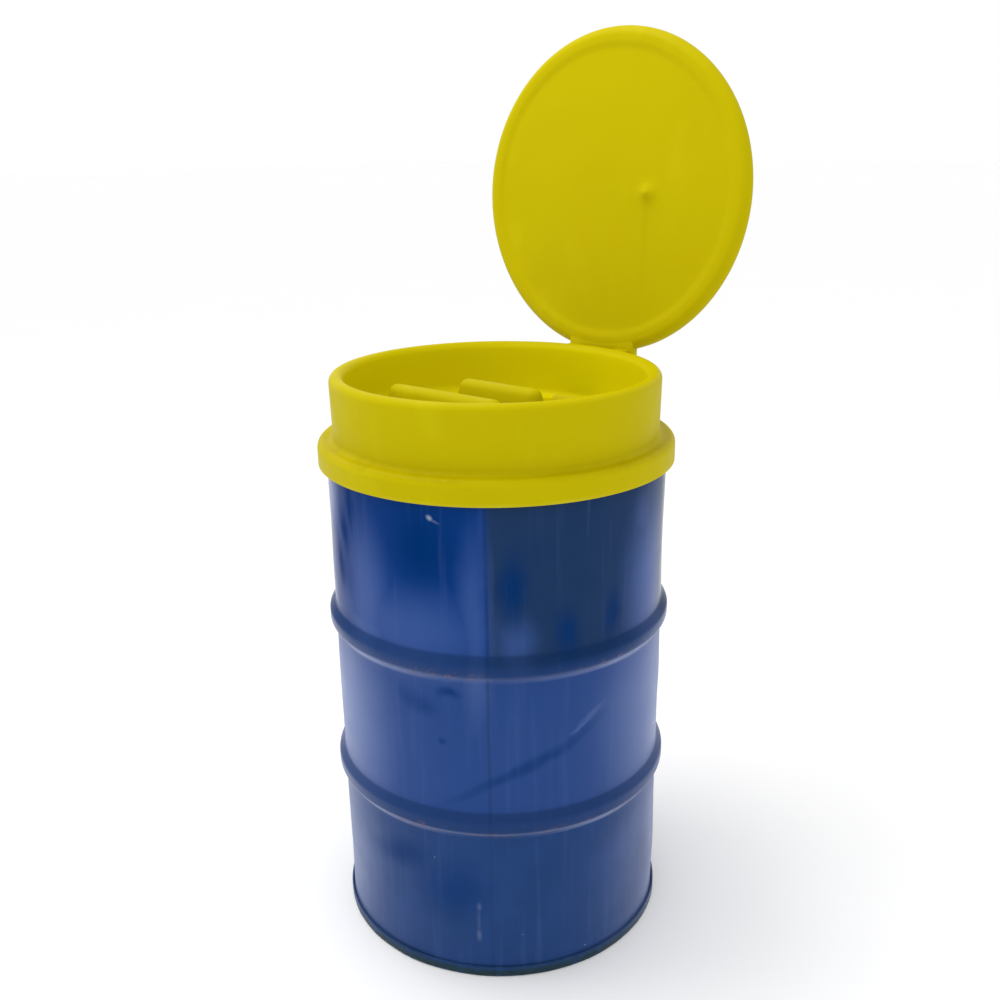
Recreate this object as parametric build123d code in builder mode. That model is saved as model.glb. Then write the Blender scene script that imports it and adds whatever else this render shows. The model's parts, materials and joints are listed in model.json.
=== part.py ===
from build123d import *
import os
from math import cos, radians, sin, tan

# Steel drum with a hinged-lid drum funnel. Millimetres, +Z up.
# The origin is the centre of the drum's base. The lid's hinge is on the +Y side, parallel to X.

os.makedirs("parts", exist_ok=True)

# ---------------------------------------------------------------- drum, driving dimensions
SHEET = 1.5                 # body and head sheet
DRUM_HEIGHT = 884.0         # over the two chimes
SHELL_R = 286.5             # middle of the body sheet: 571.5 inside diameter
HOOP_R = 297.75             # middle of the sheet at a rolling hoop's crest
HOOP_Z = (301.0, 583.0)     # centres of the two rolling hoops
HOOP_BASE = 20.0            # half height of a hoop where it leaves the wall
HOOP_CREST = 9.0            # half height of its crest
HOOP_BEND = 7.0
HEAD_DEPTH = 23.25          # chime's edge to the middle of the head's panel
SEAM_PITCH = 1.6            # one layer of the double seam to the next
SEAM_DEPTH = 18.0           # chime's edge to the middle of the cover hook's turn
BODY_HOOK = 15.5            # chime's edge to the end of the body hook
COVER_HOOK = 5.0            # chime's edge to the end of the cover hook
HOOK_BEND = 1.55
HEAD_BENDS = [6.0, 2.5, 2.5, HOOK_BEND, HOOK_BEND]
SEAL_WIDTH = 1.4            # bead of compound inside each seam
SEAL_DEPTH = 0.9
SEAL_STANDOFF = 0.6         # cover hook's end to the middle of the bead

# ---------------------------------------------------------------- bungs
BUNG_Y = 216.0              # both bungs stand this far from the axis, on opposite sides
SPOUT_BUNG_R = 28.3         # bore of the 2 inch flange
SPOUT_NECK_R = 32.0
VENT_BUNG_R = 12.2          # bore of the 3/4 inch flange
VENT_NECK_R = 15.5
BUNG_LIP = 3.0              # how far the clinched lip reaches past the neck, and its rise
LIP_ROUND = 2.4
FLANGE_PLATE = 3.0          # thickness of a flange's base below the head
SPOUT_FLANGE_FLATS = 80.0   # eight-sided base of the 2 inch flange
VENT_FLANGE_FLATS = 46.0
GASKET = 1.5
GASKET_WIDTH = 4.0
FIT = 0.1                   # slack between pieces that are clinched or clamped together
PLUG_THREAD_R = 12.12       # running fit in the vent bung
PLUG_HEAD_R = 19.0
PLUG_HEAD = 3.0
PLUG_LENGTH = 14.0
PLUG_EDGE = 0.8
PLUG_LEAD = 1.0
PLUG_DRIVE_R = 9.0
PLUG_DRIVE_DEPTH = 9.0
PLUG_BAR = 5.0

# ---------------------------------------------------------------- funnel, driving dimensions
SKIN = 6.0
SKIRT_R = 302.0             # outside of the skirt that drops over the chime
SKIRT_BOTTOM = 851.0
SEAT_GAP = 0.3              # the ledge over the chime's edge
WALL_R = 274.5              # outside of the bowl where it stands on the ledge
LEDGE_BEND = 9.0            # bends at the middle of the skin: skirt to ledge, and ledge to wall
WALL_BEND = 12.0
RIM_R = 276.2               # outside of the bowl at its rim
RIM_TOP = 997.5
RIM_ROLL = 12.0             # outside radius of the rolled rim
FLOOR_LOW = 900.0           # floor's height at the spout
FLOOR_SLOPE = 3.67          # degrees, down towards the spout
SUMP_R = 33.0
SUMP_TOP = 896.0
SUMP_LAND = 3.0             # floor thickened this far round the sump
RIB_TOP = 958.0
RIB_WIDTH = 37.0
RIB_OFFSET = 53.0           # the two drain ribs lie along X at this offset, either side of the axis
RIB_NOTCH = (55.0, 79.0)    # gap that splits each rib, along X
RIB_END = 194.0
RIB_SHORT_END = -123.0      # where the rib on the spout's side starts
RIB_CORNER = 16.0
RIB_ROUND = 14.0

# ---------------------------------------------------------------- spout and strainer
SPOUT_R = 25.0
SPOUT_BORE_R = 22.0
SPOUT_HOLE_R = 25.3         # hole for the spout in the floor and its gasket
SPOUT_EDGE = 1.2
SPOUT_LEAD = 1.5
SPOUT_TIP = 800.0
SPOUT_FLANGE_R = 32.0
SPOUT_FLANGE = 3.0
SPOUT_GASKET = 2.0
LOCKNUT = 6.0
LOCKNUT_FLATS = 66.0
LOCKNUT_EDGE = 2.0
BASKET_R = 21.0
BASKET_WALL = 1.0
BASKET_DEPTH = 46.0
BASKET_RIM_R = 27.0
BASKET_HOLE_R = 2.2
BASKET_ROWS = 5             # perforations: rows round the wall
BASKET_COLUMNS = 12
BASKET_ROW_TOP = 8.0
BASKET_ROW_PITCH = 7.5
BASKET_RINGS = ((8.0, 6), (15.0, 12))   # radius and number of the holes in the bottom
BAIL_R = 24.0
BAIL_WIRE_R = 1.25
BAIL_HEIGHT = 8.0
BAIL_BEND = 6.0
STRAINER_GAP = 0.3          # under the basket's rim

# ---------------------------------------------------------------- lid and hinge
LID_R = 277.6
LID_EDGE = 25.0             # thickness at the edge
LID_CROWN = 29.0            # from the seating plane to the top at the centre
LID_DISH = 3.0              # hollow of the underside
LID_DISH_R = (240.0, 252.0)
LID_LAND = 30.0             # flat band inside the top edge
LID_BENDS = (20.0, 20.0, 17.0, 7.0, 60.0)   # from the dish out, round the edge and in to the crown
LID_WALL = 5.0
LID_GAP = 0.3               # the closed lid over the rim
LID_OPEN = 94.0             # degrees open, as stored
HINGE_Y = 286.0
HINGE_Z = 981.6
KNUCKLE_R = 9.5
EAR_IN = 38.0               # inner and outer faces of the lid's two hinge ears, from the middle
EAR_OUT = 67.0
EAR_ROOT = 2.0              # the ears run this far into the neck
BOSS_HALF = 37.5            # half width of the funnel's middle knuckle
NECK_BOTTOM = 1000.0        # lid's neck, with the lid closed
NECK_TOP = 1018.0
NECK_EDGE = 4.0
NECK_START = 258.0
NECK_END = 295.5
STOP_Y = 314.0              # outer edge of the shelf that stops the open lid
STOP_TOP_Z = 970.1          # the shelf's top at its outer edge
STOP_UNDER_Z = 955.0
KNUCKLE_UNDER_Z = 971.7     # where the shelf meets the knuckle
BOSS_ROOT = 270.5           # the boss starts inside the funnel's wall
BOSS_FOOT_Z = 918.0
PIN_R = 3.175               # 1/4 inch hinge bolt
PIN_RUNNING_R = 3.25
PIN_EAR_R = 3.4
RECESS_R = 7.0              # counterbores in the ears for the bolt's head and nut
RECESS_FLOOR = 58.5
WASHER = 1.6
WASHER_R = 6.35
BOLT_LENGTH = 127.0
HEX_FLATS = 11.1
BOLT_HEAD = 4.0
BOLT_LEAD = 0.6
NUT = 6.4
VENT_X = 82.0               # moulding vent in the lid's underside, from the lid's middle
VENT_HOLE_R = 3.5
VENT_STEM_R = 3.4
VENT_CAP_R = 7.5
VENT_CAP = 7.0
VENT_DOME = 4.5
VENT_STEM = 8.0
VENT_LEAD = 1.0

# ---------------------------------------------------------------- worked out from the above
LEDGE = DRUM_HEIGHT + SEAT_GAP            # underside of the funnel's ledge
RIM_MID_R = RIM_R - RIM_ROLL              # circle that the rolled rim follows
RIM_MID_Z = RIM_TOP - RIM_ROLL
BOWL_R = RIM_MID_R - RIM_ROLL             # inside of the bowl
HEAD_TOP = DRUM_HEIGHT - HEAD_DEPTH + SHEET / 2
HEAD_UNDER = HEAD_TOP - SHEET
SPOUT_TOP = SUMP_TOP + SPOUT_GASKET + SPOUT_FLANGE
SEAT = RIM_TOP + LID_GAP                  # underside of the closed lid's edge
HINGE = Axis((0, HINGE_Y, HINGE_Z), (1, 0, 0))
HEX_CORNER_R = HEX_FLATS / 2 / cos(radians(30))


def floor_top(y):
    """Height of the sloping floor's upper face at y."""
    return FLOOR_LOW + (BUNG_Y - y) * tan(radians(FLOOR_SLOPE))


def save(part, name):
    """Label a finished piece and write it."""
    part.label = name
    export_step(part, f"parts/{name}.step")


def open_lid(part):
    """Swing a piece that is modelled with the lid closed to the stored, open position."""
    return part.rotate(HINGE, -LID_OPEN)


# ================================================================= drum
# Body sheet: one line up the wall, over both rolling hoops, hooked outwards at each end.
HOOK_R = SHELL_R + 2 * SEAM_PITCH
HOOK_EDGE = SHEET + SEAM_PITCH / 2 + FIT / 2
wall_points = [
    (HOOK_R, BODY_HOOK),
    (HOOK_R, HOOK_EDGE),
    (SHELL_R, HOOK_EDGE),
]
wall_radii = [HOOK_BEND, HOOK_BEND]
for hoop_z in HOOP_Z:
    wall_points += [
        (SHELL_R, hoop_z - HOOP_BASE),
        (HOOP_R, hoop_z - HOOP_CREST),
        (HOOP_R, hoop_z + HOOP_CREST),
        (SHELL_R, hoop_z + HOOP_BASE),
    ]
    wall_radii += [HOOP_BEND] * 4
wall_points += [
    (SHELL_R, DRUM_HEIGHT - HOOK_EDGE),
    (HOOK_R, DRUM_HEIGHT - HOOK_EDGE),
    (HOOK_R, DRUM_HEIGHT - BODY_HOOK),
]
wall_radii += [HOOK_BEND, HOOK_BEND]

with BuildPart() as drum_shell:
    with BuildSketch(Plane.XZ):
        with BuildLine():
            FilletPolyline(*wall_points, radius=wall_radii)
        trace(line_width=SHEET)
    revolve(axis=Axis.Z)
save(drum_shell.part, "drum_shell")


def head_line(end):
    """Middle line of a pressed head, from its axis out into the seam, for end 0 or 1."""
    edge = DRUM_HEIGHT * end
    inward = 1 if end == 0 else -1
    chuck_r = SHELL_R - SEAM_PITCH
    outer_r = SHELL_R + 3 * SEAM_PITCH
    cover_r = SHELL_R + SEAM_PITCH
    return [
        (0, edge + inward * HEAD_DEPTH),
        (chuck_r, edge + inward * HEAD_DEPTH),
        (chuck_r, edge + inward * SHEET / 2),
        (outer_r, edge + inward * SHEET / 2),
        (outer_r, edge + inward * SEAM_DEPTH),
        (cover_r, edge + inward * SEAM_DEPTH),
        (cover_r, edge + inward * COVER_HOOK),
    ]


with BuildPart() as drum_bottom_head:
    with BuildSketch(Plane.XZ):
        with BuildLine():
            FilletPolyline(*head_line(0), radius=HEAD_BENDS)
        trace(line_width=SHEET)
    revolve(axis=Axis.Z)
save(drum_bottom_head.part, "drum_bottom_head")

with BuildPart() as drum_top_head:
    with BuildSketch(Plane.XZ):
        with BuildLine():
            FilletPolyline(*head_line(1), radius=HEAD_BENDS)
        trace(line_width=SHEET)
    revolve(axis=Axis.Z)
    with BuildSketch(Plane.XY.offset(HEAD_TOP)):
        with Locations((0, BUNG_Y)):
            Circle(SPOUT_NECK_R + FIT)
        with Locations((0, -BUNG_Y)):
            Circle(VENT_NECK_R + FIT)
    extrude(amount=-2 * SHEET, mode=Mode.SUBTRACT)
save(drum_top_head.part, "drum_top_head")


def seam_seal(end):
    """Bead of sealing compound between the body hook's bend and the end of the cover hook."""
    middle = COVER_HOOK - SEAL_STANDOFF
    z = middle if end == 0 else DRUM_HEIGHT - middle
    with BuildPart() as seal:
        with BuildSketch(Plane.XZ):
            with Locations((SHELL_R + SEAM_PITCH, z)):
                Rectangle(SEAL_WIDTH, SEAL_DEPTH)
        revolve(axis=Axis.Z)
    return seal.part


save(seam_seal(0), "bottom_seam_seal")
save(seam_seal(1), "top_seam_seal")


def bung_flange(y, bore_r, neck_r, flats):
    """Clinched flange: eight-sided base under the head, neck through it, rolled lip above it."""
    plate_top = HEAD_UNDER - GASKET
    with BuildPart() as flange:
        with BuildSketch(Plane.XY.offset(plate_top)):
            with Locations((0, y)):
                RegularPolygon(flats / 2, side_count=8, major_radius=False)
        extrude(amount=-FLANGE_PLATE)
        with BuildSketch(Plane.XY.offset(plate_top)):
            with Locations((0, y)):
                Circle(neck_r)
        extrude(amount=HEAD_TOP - plate_top)
        with BuildSketch(Plane.XY.offset(HEAD_TOP)):
            with Locations((0, y)):
                Circle(neck_r + BUNG_LIP)
        extrude(amount=BUNG_LIP)
        lip = flange.faces().sort_by(Axis.Z)[-1].outer_wire().edges()
        fillet(lip, radius=LIP_ROUND)
        with BuildSketch(Plane.XY.offset(HEAD_TOP + BUNG_LIP)):
            with Locations((0, y)):
                Circle(bore_r)
        extrude(amount=-(HEAD_TOP + BUNG_LIP - plate_top + FLANGE_PLATE + 1), mode=Mode.SUBTRACT)
    return flange.part


def bung_gasket(y, neck_r):
    """Flat ring between a bung flange's base and the head."""
    with BuildPart() as ring:
        with BuildSketch(Plane.XY.offset(HEAD_UNDER)):
            with Locations((0, y)):
                Circle(neck_r + GASKET_WIDTH)
                Circle(neck_r + FIT, mode=Mode.SUBTRACT)
        extrude(amount=-GASKET)
    return ring.part


save(bung_flange(BUNG_Y, SPOUT_BUNG_R, SPOUT_NECK_R, SPOUT_FLANGE_FLATS), "spout_bung_flange")
save(bung_gasket(BUNG_Y, SPOUT_NECK_R), "spout_bung_gasket")
save(bung_flange(-BUNG_Y, VENT_BUNG_R, VENT_NECK_R, VENT_FLANGE_FLATS), "vent_bung_flange")
save(bung_gasket(-BUNG_Y, VENT_NECK_R), "vent_bung_gasket")

# Screw plug of the vent bung: threaded drum, head, and a hollow with a cross bar for a bung wrench.
PLUG_SEAT = HEAD_TOP + BUNG_LIP + GASKET
with BuildPart() as vent_plug:
    with BuildSketch(Plane.XY.offset(PLUG_SEAT)):
        with Locations((0, -BUNG_Y)):
            Circle(PLUG_HEAD_R)
    extrude(amount=PLUG_HEAD)
    chamfer(vent_plug.edges().group_by(Axis.Z)[-1], length=PLUG_EDGE)
    with BuildSketch(Plane.XY.offset(PLUG_SEAT)):
        with Locations((0, -BUNG_Y)):
            Circle(PLUG_THREAD_R)
    extrude(amount=-PLUG_LENGTH)
    chamfer(vent_plug.edges().group_by(Axis.Z)[0], length=PLUG_LEAD)
    with BuildSketch(Plane.XY.offset(PLUG_SEAT + PLUG_HEAD)):
        with Locations((0, -BUNG_Y)):
            Circle(PLUG_DRIVE_R)
            Rectangle(2 * PLUG_DRIVE_R + 2, PLUG_BAR, mode=Mode.SUBTRACT)
    extrude(amount=-PLUG_DRIVE_DEPTH, mode=Mode.SUBTRACT)
save(vent_plug.part, "vent_plug")

with BuildPart() as vent_plug_gasket:
    with BuildSketch(Plane.XY.offset(HEAD_TOP + BUNG_LIP)):
        with Locations((0, -BUNG_Y)):
            Circle(VENT_NECK_R + GASKET_WIDTH / 2)
            Circle(PLUG_THREAD_R + 2 * FIT, mode=Mode.SUBTRACT)
    extrude(amount=GASKET)
save(vent_plug_gasket.part, "vent_plug_gasket")

# ================================================================= funnel body
floor_plane = Plane(
    origin=(0, BUNG_Y, FLOOR_LOW),
    x_dir=(1, 0, 0),
    z_dir=(0, sin(radians(FLOOR_SLOPE)), cos(radians(FLOOR_SLOPE))),
)
under_plane = floor_plane.offset(-SKIN)

with BuildPart() as floor_slab:
    with BuildSketch(Plane.XY.offset(LEDGE)):
        Circle(BOWL_R + SKIN / 2)
    extrude(amount=RIM_MID_Z - LEDGE)
    split(bisect_by=floor_plane, keep=Keep.BOTTOM)
    split(bisect_by=under_plane, keep=Keep.TOP)

with BuildPart() as under_floor:
    with BuildSketch(Plane.XY.offset(LEDGE - SKIN)):
        Circle(BOWL_R + SKIN + 1)
    extrude(amount=RIM_MID_Z - LEDGE)
    split(bisect_by=under_plane, keep=Keep.BOTTOM)

RIB_SPANS = [
    (-RIB_OFFSET, -RIB_END, RIB_NOTCH[0]),
    (-RIB_OFFSET, RIB_NOTCH[1], RIB_END),
    (RIB_OFFSET, RIB_SHORT_END, RIB_NOTCH[0]),
    (RIB_OFFSET, RIB_NOTCH[1], RIB_END),
]


def rib_block(span, bottom, inset):
    """Round-topped block for one stretch of drain rib, smaller all round by inset."""
    y, start, end = span
    with BuildPart() as block:
        with BuildSketch(Plane.XY.offset(bottom)):
            with Locations(((start + end) / 2, y)):
                RectangleRounded(
                    end - start - 2 * inset, RIB_WIDTH - 2 * inset, RIB_CORNER - inset
                )
        extrude(amount=RIB_TOP - inset - bottom)
        fillet(block.edges().group_by(Axis.Z)[-1], radius=RIB_ROUND - inset)
    return block.part


with BuildPart() as funnel_body:
    # Skirt, ledge, outer wall, rolled rim and inner wall are one skin.
    with BuildSketch(Plane.XZ):
        with BuildLine():
            FilletPolyline(
                (SKIRT_R - SKIN / 2, SKIRT_BOTTOM),
                (SKIRT_R - SKIN / 2, LEDGE + SKIN / 2),
                (WALL_R - SKIN / 2, LEDGE + SKIN / 2),
                (RIM_R - SKIN / 2, RIM_MID_Z),
                radius=[LEDGE_BEND, WALL_BEND],
            )
            ThreePointArc(
                (RIM_R - SKIN / 2, RIM_MID_Z),
                (RIM_MID_R, RIM_TOP - SKIN / 2),
                (BOWL_R + SKIN / 2, RIM_MID_Z),
            )
            Line((BOWL_R + SKIN / 2, RIM_MID_Z), (BOWL_R + SKIN / 2, LEDGE + SKIN / 2))
        trace(line_width=SKIN)
    revolve(axis=Axis.Z)
    add(under_floor.part, mode=Mode.SUBTRACT)
    add(floor_slab.part)
    # Drain ribs, hollow underneath.
    for span in RIB_SPANS:
        add(rib_block(span, floor_top(span[0]) - SKIN / 2, 0))
    for span in RIB_SPANS:
        add(rib_block(span, LEDGE, SKIN), mode=Mode.SUBTRACT)
    # Sump round the spout.
    with BuildSketch(Plane.XY.offset(SUMP_TOP)):
        with Locations((0, BUNG_Y)):
            Circle(SUMP_R + SUMP_LAND)
    extrude(amount=-SKIN)
    with BuildSketch(Plane.XY.offset(SUMP_TOP)):
        with Locations((0, BUNG_Y)):
            Circle(SUMP_R)
    extrude(amount=SUMP_R, mode=Mode.SUBTRACT)
    with BuildSketch(Plane.XY.offset(SUMP_TOP)):
        with Locations((0, BUNG_Y)):
            Circle(SPOUT_HOLE_R)
    extrude(amount=-2 * SKIN, mode=Mode.SUBTRACT)
    # Hinge boss with its stop shelf, outside the wall.
    with BuildSketch(Plane.YZ.offset(-BOSS_HALF)):
        Polygon(
            (BOSS_ROOT, BOSS_FOOT_Z),
            (STOP_Y, STOP_UNDER_Z),
            (STOP_Y, STOP_TOP_Z),
            (HINGE_Y, KNUCKLE_UNDER_Z),
            (HINGE_Y, HINGE_Z + KNUCKLE_R),
            (BOSS_ROOT, HINGE_Z + KNUCKLE_R),
            align=None,
        )
        with Locations((HINGE_Y, HINGE_Z)):
            Circle(KNUCKLE_R)
            Circle(PIN_RUNNING_R, mode=Mode.SUBTRACT)
    extrude(amount=2 * BOSS_HALF)
save(funnel_body.part, "funnel_body")

# ================================================================= spout
with BuildPart() as spout_fitting:
    with BuildSketch(Plane.XY.offset(SPOUT_TOP)):
        with Locations((0, BUNG_Y)):
            Circle(SPOUT_FLANGE_R)
    extrude(amount=-SPOUT_FLANGE)
    fillet(spout_fitting.edges().group_by(Axis.Z)[-1], radius=SPOUT_EDGE)
    with BuildSketch(Plane.XY.offset(SPOUT_TOP - SPOUT_FLANGE)):
        with Locations((0, BUNG_Y)):
            Circle(SPOUT_R)
    extrude(amount=SPOUT_TIP - SPOUT_TOP + SPOUT_FLANGE)
    chamfer(spout_fitting.edges().group_by(Axis.Z)[0], length=SPOUT_LEAD)
    with BuildSketch(Plane.XY.offset(SPOUT_TOP)):
        with Locations((0, BUNG_Y)):
            Circle(SPOUT_BORE_R)
    extrude(amount=SPOUT_TIP - SPOUT_TOP - 1, mode=Mode.SUBTRACT)
save(spout_fitting.part, "spout_fitting")

with BuildPart() as spout_gasket:
    with BuildSketch(Plane.XY.offset(SUMP_TOP)):
        with Locations((0, BUNG_Y)):
            Circle(SPOUT_FLANGE_R - 5 * FIT)
            Circle(SPOUT_HOLE_R, mode=Mode.SUBTRACT)
    extrude(amount=SPOUT_GASKET)
save(spout_gasket.part, "spout_gasket")

with BuildPart() as spout_locknut:
    with BuildSketch(Plane.XY.offset(SUMP_TOP - SKIN)):
        with Locations((0, BUNG_Y)):
            RegularPolygon(LOCKNUT_FLATS / 2, side_count=6, major_radius=False)
            Circle(SPOUT_R + FIT, mode=Mode.SUBTRACT)
    extrude(amount=-LOCKNUT)
    chamfer(spout_locknut.edges().filter_by(Axis.Z), length=LOCKNUT_EDGE)
save(spout_locknut.part, "spout_locknut")

# ================================================================= strainer
BASKET_TOP = SPOUT_TOP + STRAINER_GAP
with BuildPart() as strainer_basket:
    with BuildSketch(Plane.XY.offset(BASKET_TOP)):
        with Locations((0, BUNG_Y)):
            Circle(BASKET_RIM_R)
    extrude(amount=BASKET_WALL)
    with BuildSketch(Plane.XY.offset(BASKET_TOP)):
        with Locations((0, BUNG_Y)):
            Circle(BASKET_R)
    extrude(amount=-BASKET_DEPTH)
    with BuildSketch(Plane.XY.offset(BASKET_TOP + BASKET_WALL)):
        with Locations((0, BUNG_Y)):
            Circle(BASKET_R - BASKET_WALL)
    extrude(amount=-BASKET_DEPTH, mode=Mode.SUBTRACT)
    # Perforations: rows round the wall, and rings in the bottom.
    for row in range(BASKET_ROWS):
        row_z = BASKET_TOP - BASKET_ROW_TOP - row * BASKET_ROW_PITCH
        for column in range(BASKET_COLUMNS // 2):
            turn = (column + 0.5 * (row % 2)) * 360 / BASKET_COLUMNS
            drill = Plane(
                origin=(0, BUNG_Y, row_z),
                x_dir=(0, 0, 1),
                z_dir=(cos(radians(turn)), sin(radians(turn)), 0),
            )
            with BuildSketch(drill):
                Circle(BASKET_HOLE_R)
            extrude(amount=BASKET_R + 1, both=True, mode=Mode.SUBTRACT)
    with BuildSketch(Plane.XY.offset(BASKET_TOP - BASKET_DEPTH)):
        with Locations((0, BUNG_Y)):
            Circle(BASKET_HOLE_R)
            for ring_r, holes in BASKET_RINGS:
                with PolarLocations(ring_r, holes):
                    Circle(BASKET_HOLE_R)
    extrude(amount=2 * BASKET_WALL, mode=Mode.SUBTRACT)
save(strainer_basket.part, "strainer_basket")

BAIL_FOOT = BASKET_TOP + BASKET_WALL
with BuildPart() as strainer_handle:
    with BuildLine(Plane.XZ.offset(-BUNG_Y)) as bail:
        FilletPolyline(
            (-BAIL_R, BAIL_FOOT),
            (-BAIL_R, BAIL_FOOT + BAIL_HEIGHT),
            (BAIL_R, BAIL_FOOT + BAIL_HEIGHT),
            (BAIL_R, BAIL_FOOT),
            radius=BAIL_BEND,
        )
    with BuildSketch(Plane.XY.offset(BAIL_FOOT)):
        with Locations((-BAIL_R, BUNG_Y)):
            Circle(BAIL_WIRE_R)
    sweep(path=bail.wires()[0])
save(strainer_handle.part, "strainer_handle")


# ================================================================= lid, modelled closed
def lid_section(inset):
    """Half section of the lid's outside, moved inwards by inset."""
    bottom = SEAT + inset
    outer = LID_R - inset
    edge_top = SEAT + LID_EDGE - inset
    FilletPolyline(
        (0, bottom + LID_DISH),
        (LID_DISH_R[0], bottom + LID_DISH),
        (LID_DISH_R[1], bottom),
        (outer, bottom),
        (outer, edge_top),
        (LID_R - LID_LAND, edge_top),
        (0, SEAT + LID_CROWN - inset),
        radius=[*LID_BENDS[:2], LID_BENDS[2] - inset, LID_BENDS[3] - inset, LID_BENDS[4]],
    )
    Line((0, SEAT + LID_CROWN - inset), (0, bottom + LID_DISH))


with BuildPart() as lid_cavity:
    with BuildSketch(Plane.XZ):
        with BuildLine():
            lid_section(LID_WALL)
        make_face()
    revolve(axis=Axis.Z)

with BuildPart() as lid:
    with BuildSketch(Plane.XZ):
        with BuildLine():
            lid_section(0)
        make_face()
    revolve(axis=Axis.Z)
    add(lid_cavity.part, mode=Mode.SUBTRACT)
    # Neck across the whole hinge, over the funnel's knuckle.
    with BuildSketch(Plane.YZ.offset(-EAR_OUT)):
        Polygon(
            (NECK_START, NECK_BOTTOM),
            (NECK_END, NECK_BOTTOM),
            (NECK_END, NECK_TOP - NECK_EDGE),
            (NECK_END - NECK_EDGE, NECK_TOP),
            (NECK_START, NECK_TOP),
            align=None,
        )
    extrude(amount=2 * EAR_OUT)
    # Two ears that carry the hinge bolt.
    for ear_start in (-EAR_OUT, EAR_IN):
        with BuildSketch(Plane.YZ.offset(ear_start)):
            Polygon(
                (HINGE_Y - KNUCKLE_R, HINGE_Z),
                (NECK_END, HINGE_Z),
                (NECK_END, NECK_BOTTOM + EAR_ROOT),
                (HINGE_Y - KNUCKLE_R, NECK_BOTTOM + EAR_ROOT),
                align=None,
            )
            with Locations((HINGE_Y, HINGE_Z)):
                Circle(KNUCKLE_R)
        extrude(amount=EAR_OUT - EAR_IN)
    with BuildSketch(Plane.YZ.offset(-EAR_OUT)):
        with Locations((HINGE_Y, HINGE_Z)):
            Circle(PIN_EAR_R)
    extrude(amount=2 * EAR_OUT, mode=Mode.SUBTRACT)
    with BuildSketch(Plane.YZ.offset(-EAR_OUT), Plane.YZ.offset(RECESS_FLOOR)):
        with Locations((HINGE_Y, HINGE_Z)):
            Circle(RECESS_R)
    extrude(amount=EAR_OUT - RECESS_FLOOR, mode=Mode.SUBTRACT)
    # Moulding vent.
    with BuildSketch(Plane.XY.offset(SEAT)):
        with Locations((VENT_X, 0)):
            Circle(VENT_HOLE_R)
    extrude(amount=LID_DISH + LID_WALL + 1, mode=Mode.SUBTRACT)
save(open_lid(lid.part), "lid")

VENT_SEAT = SEAT + LID_DISH
with BuildPart() as lid_vent_plug:
    with BuildSketch(Plane.XY.offset(VENT_SEAT)):
        with Locations((VENT_X, 0)):
            Circle(VENT_CAP_R)
    extrude(amount=-VENT_CAP)
    fillet(lid_vent_plug.edges().group_by(Axis.Z)[0], radius=VENT_DOME)
    with BuildSketch(Plane.XY.offset(VENT_SEAT)):
        with Locations((VENT_X, 0)):
            Circle(VENT_STEM_R)
    extrude(amount=VENT_STEM)
    chamfer(lid_vent_plug.edges().group_by(Axis.Z)[-1], length=VENT_LEAD)
save(open_lid(lid_vent_plug.part), "lid_vent_plug")

# ================================================================= hinge hardware
HEAD_FACE = -(RECESS_FLOOR + WASHER)
with BuildPart() as hinge_bolt:
    with BuildSketch(Plane.YZ.offset(HEAD_FACE)):
        with Locations((HINGE_Y, HINGE_Z)):
            RegularPolygon(HEX_CORNER_R, side_count=6)
    extrude(amount=-BOLT_HEAD)
    with BuildSketch(Plane.YZ.offset(HEAD_FACE)):
        with Locations((HINGE_Y, HINGE_Z)):
            Circle(PIN_R)
    extrude(amount=BOLT_LENGTH)
    chamfer(hinge_bolt.edges().group_by(Axis.X)[-1], length=BOLT_LEAD)
save(open_lid(hinge_bolt.part), "hinge_bolt")

with BuildPart() as hinge_nut:
    with BuildSketch(Plane.YZ.offset(RECESS_FLOOR + WASHER)):
        with Locations((HINGE_Y, HINGE_Z)):
            RegularPolygon(HEX_CORNER_R, side_count=6)
            Circle(PIN_R + FIT / 2, mode=Mode.SUBTRACT)
    extrude(amount=NUT)
save(open_lid(hinge_nut.part), "hinge_nut")

with BuildPart() as hinge_washers:
    with BuildSketch(Plane.YZ.offset(HEAD_FACE), Plane.YZ.offset(RECESS_FLOOR)):
        with Locations((HINGE_Y, HINGE_Z)):
            Circle(WASHER_R)
            Circle(PIN_R + FIT, mode=Mode.SUBTRACT)
    extrude(amount=WASHER)
save(open_lid(hinge_washers.part), "hinge_washers")
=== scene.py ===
"""Looks of the steel drum and its hinged-lid funnel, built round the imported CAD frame. Metres, Z up."""
import json
from math import cos, pi, radians, sin, sqrt, tan

import bmesh
import bpy
import numpy as np
from mathutils import Matrix, Vector
from mathutils.geometry import delaunay_2d_cdt


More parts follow.
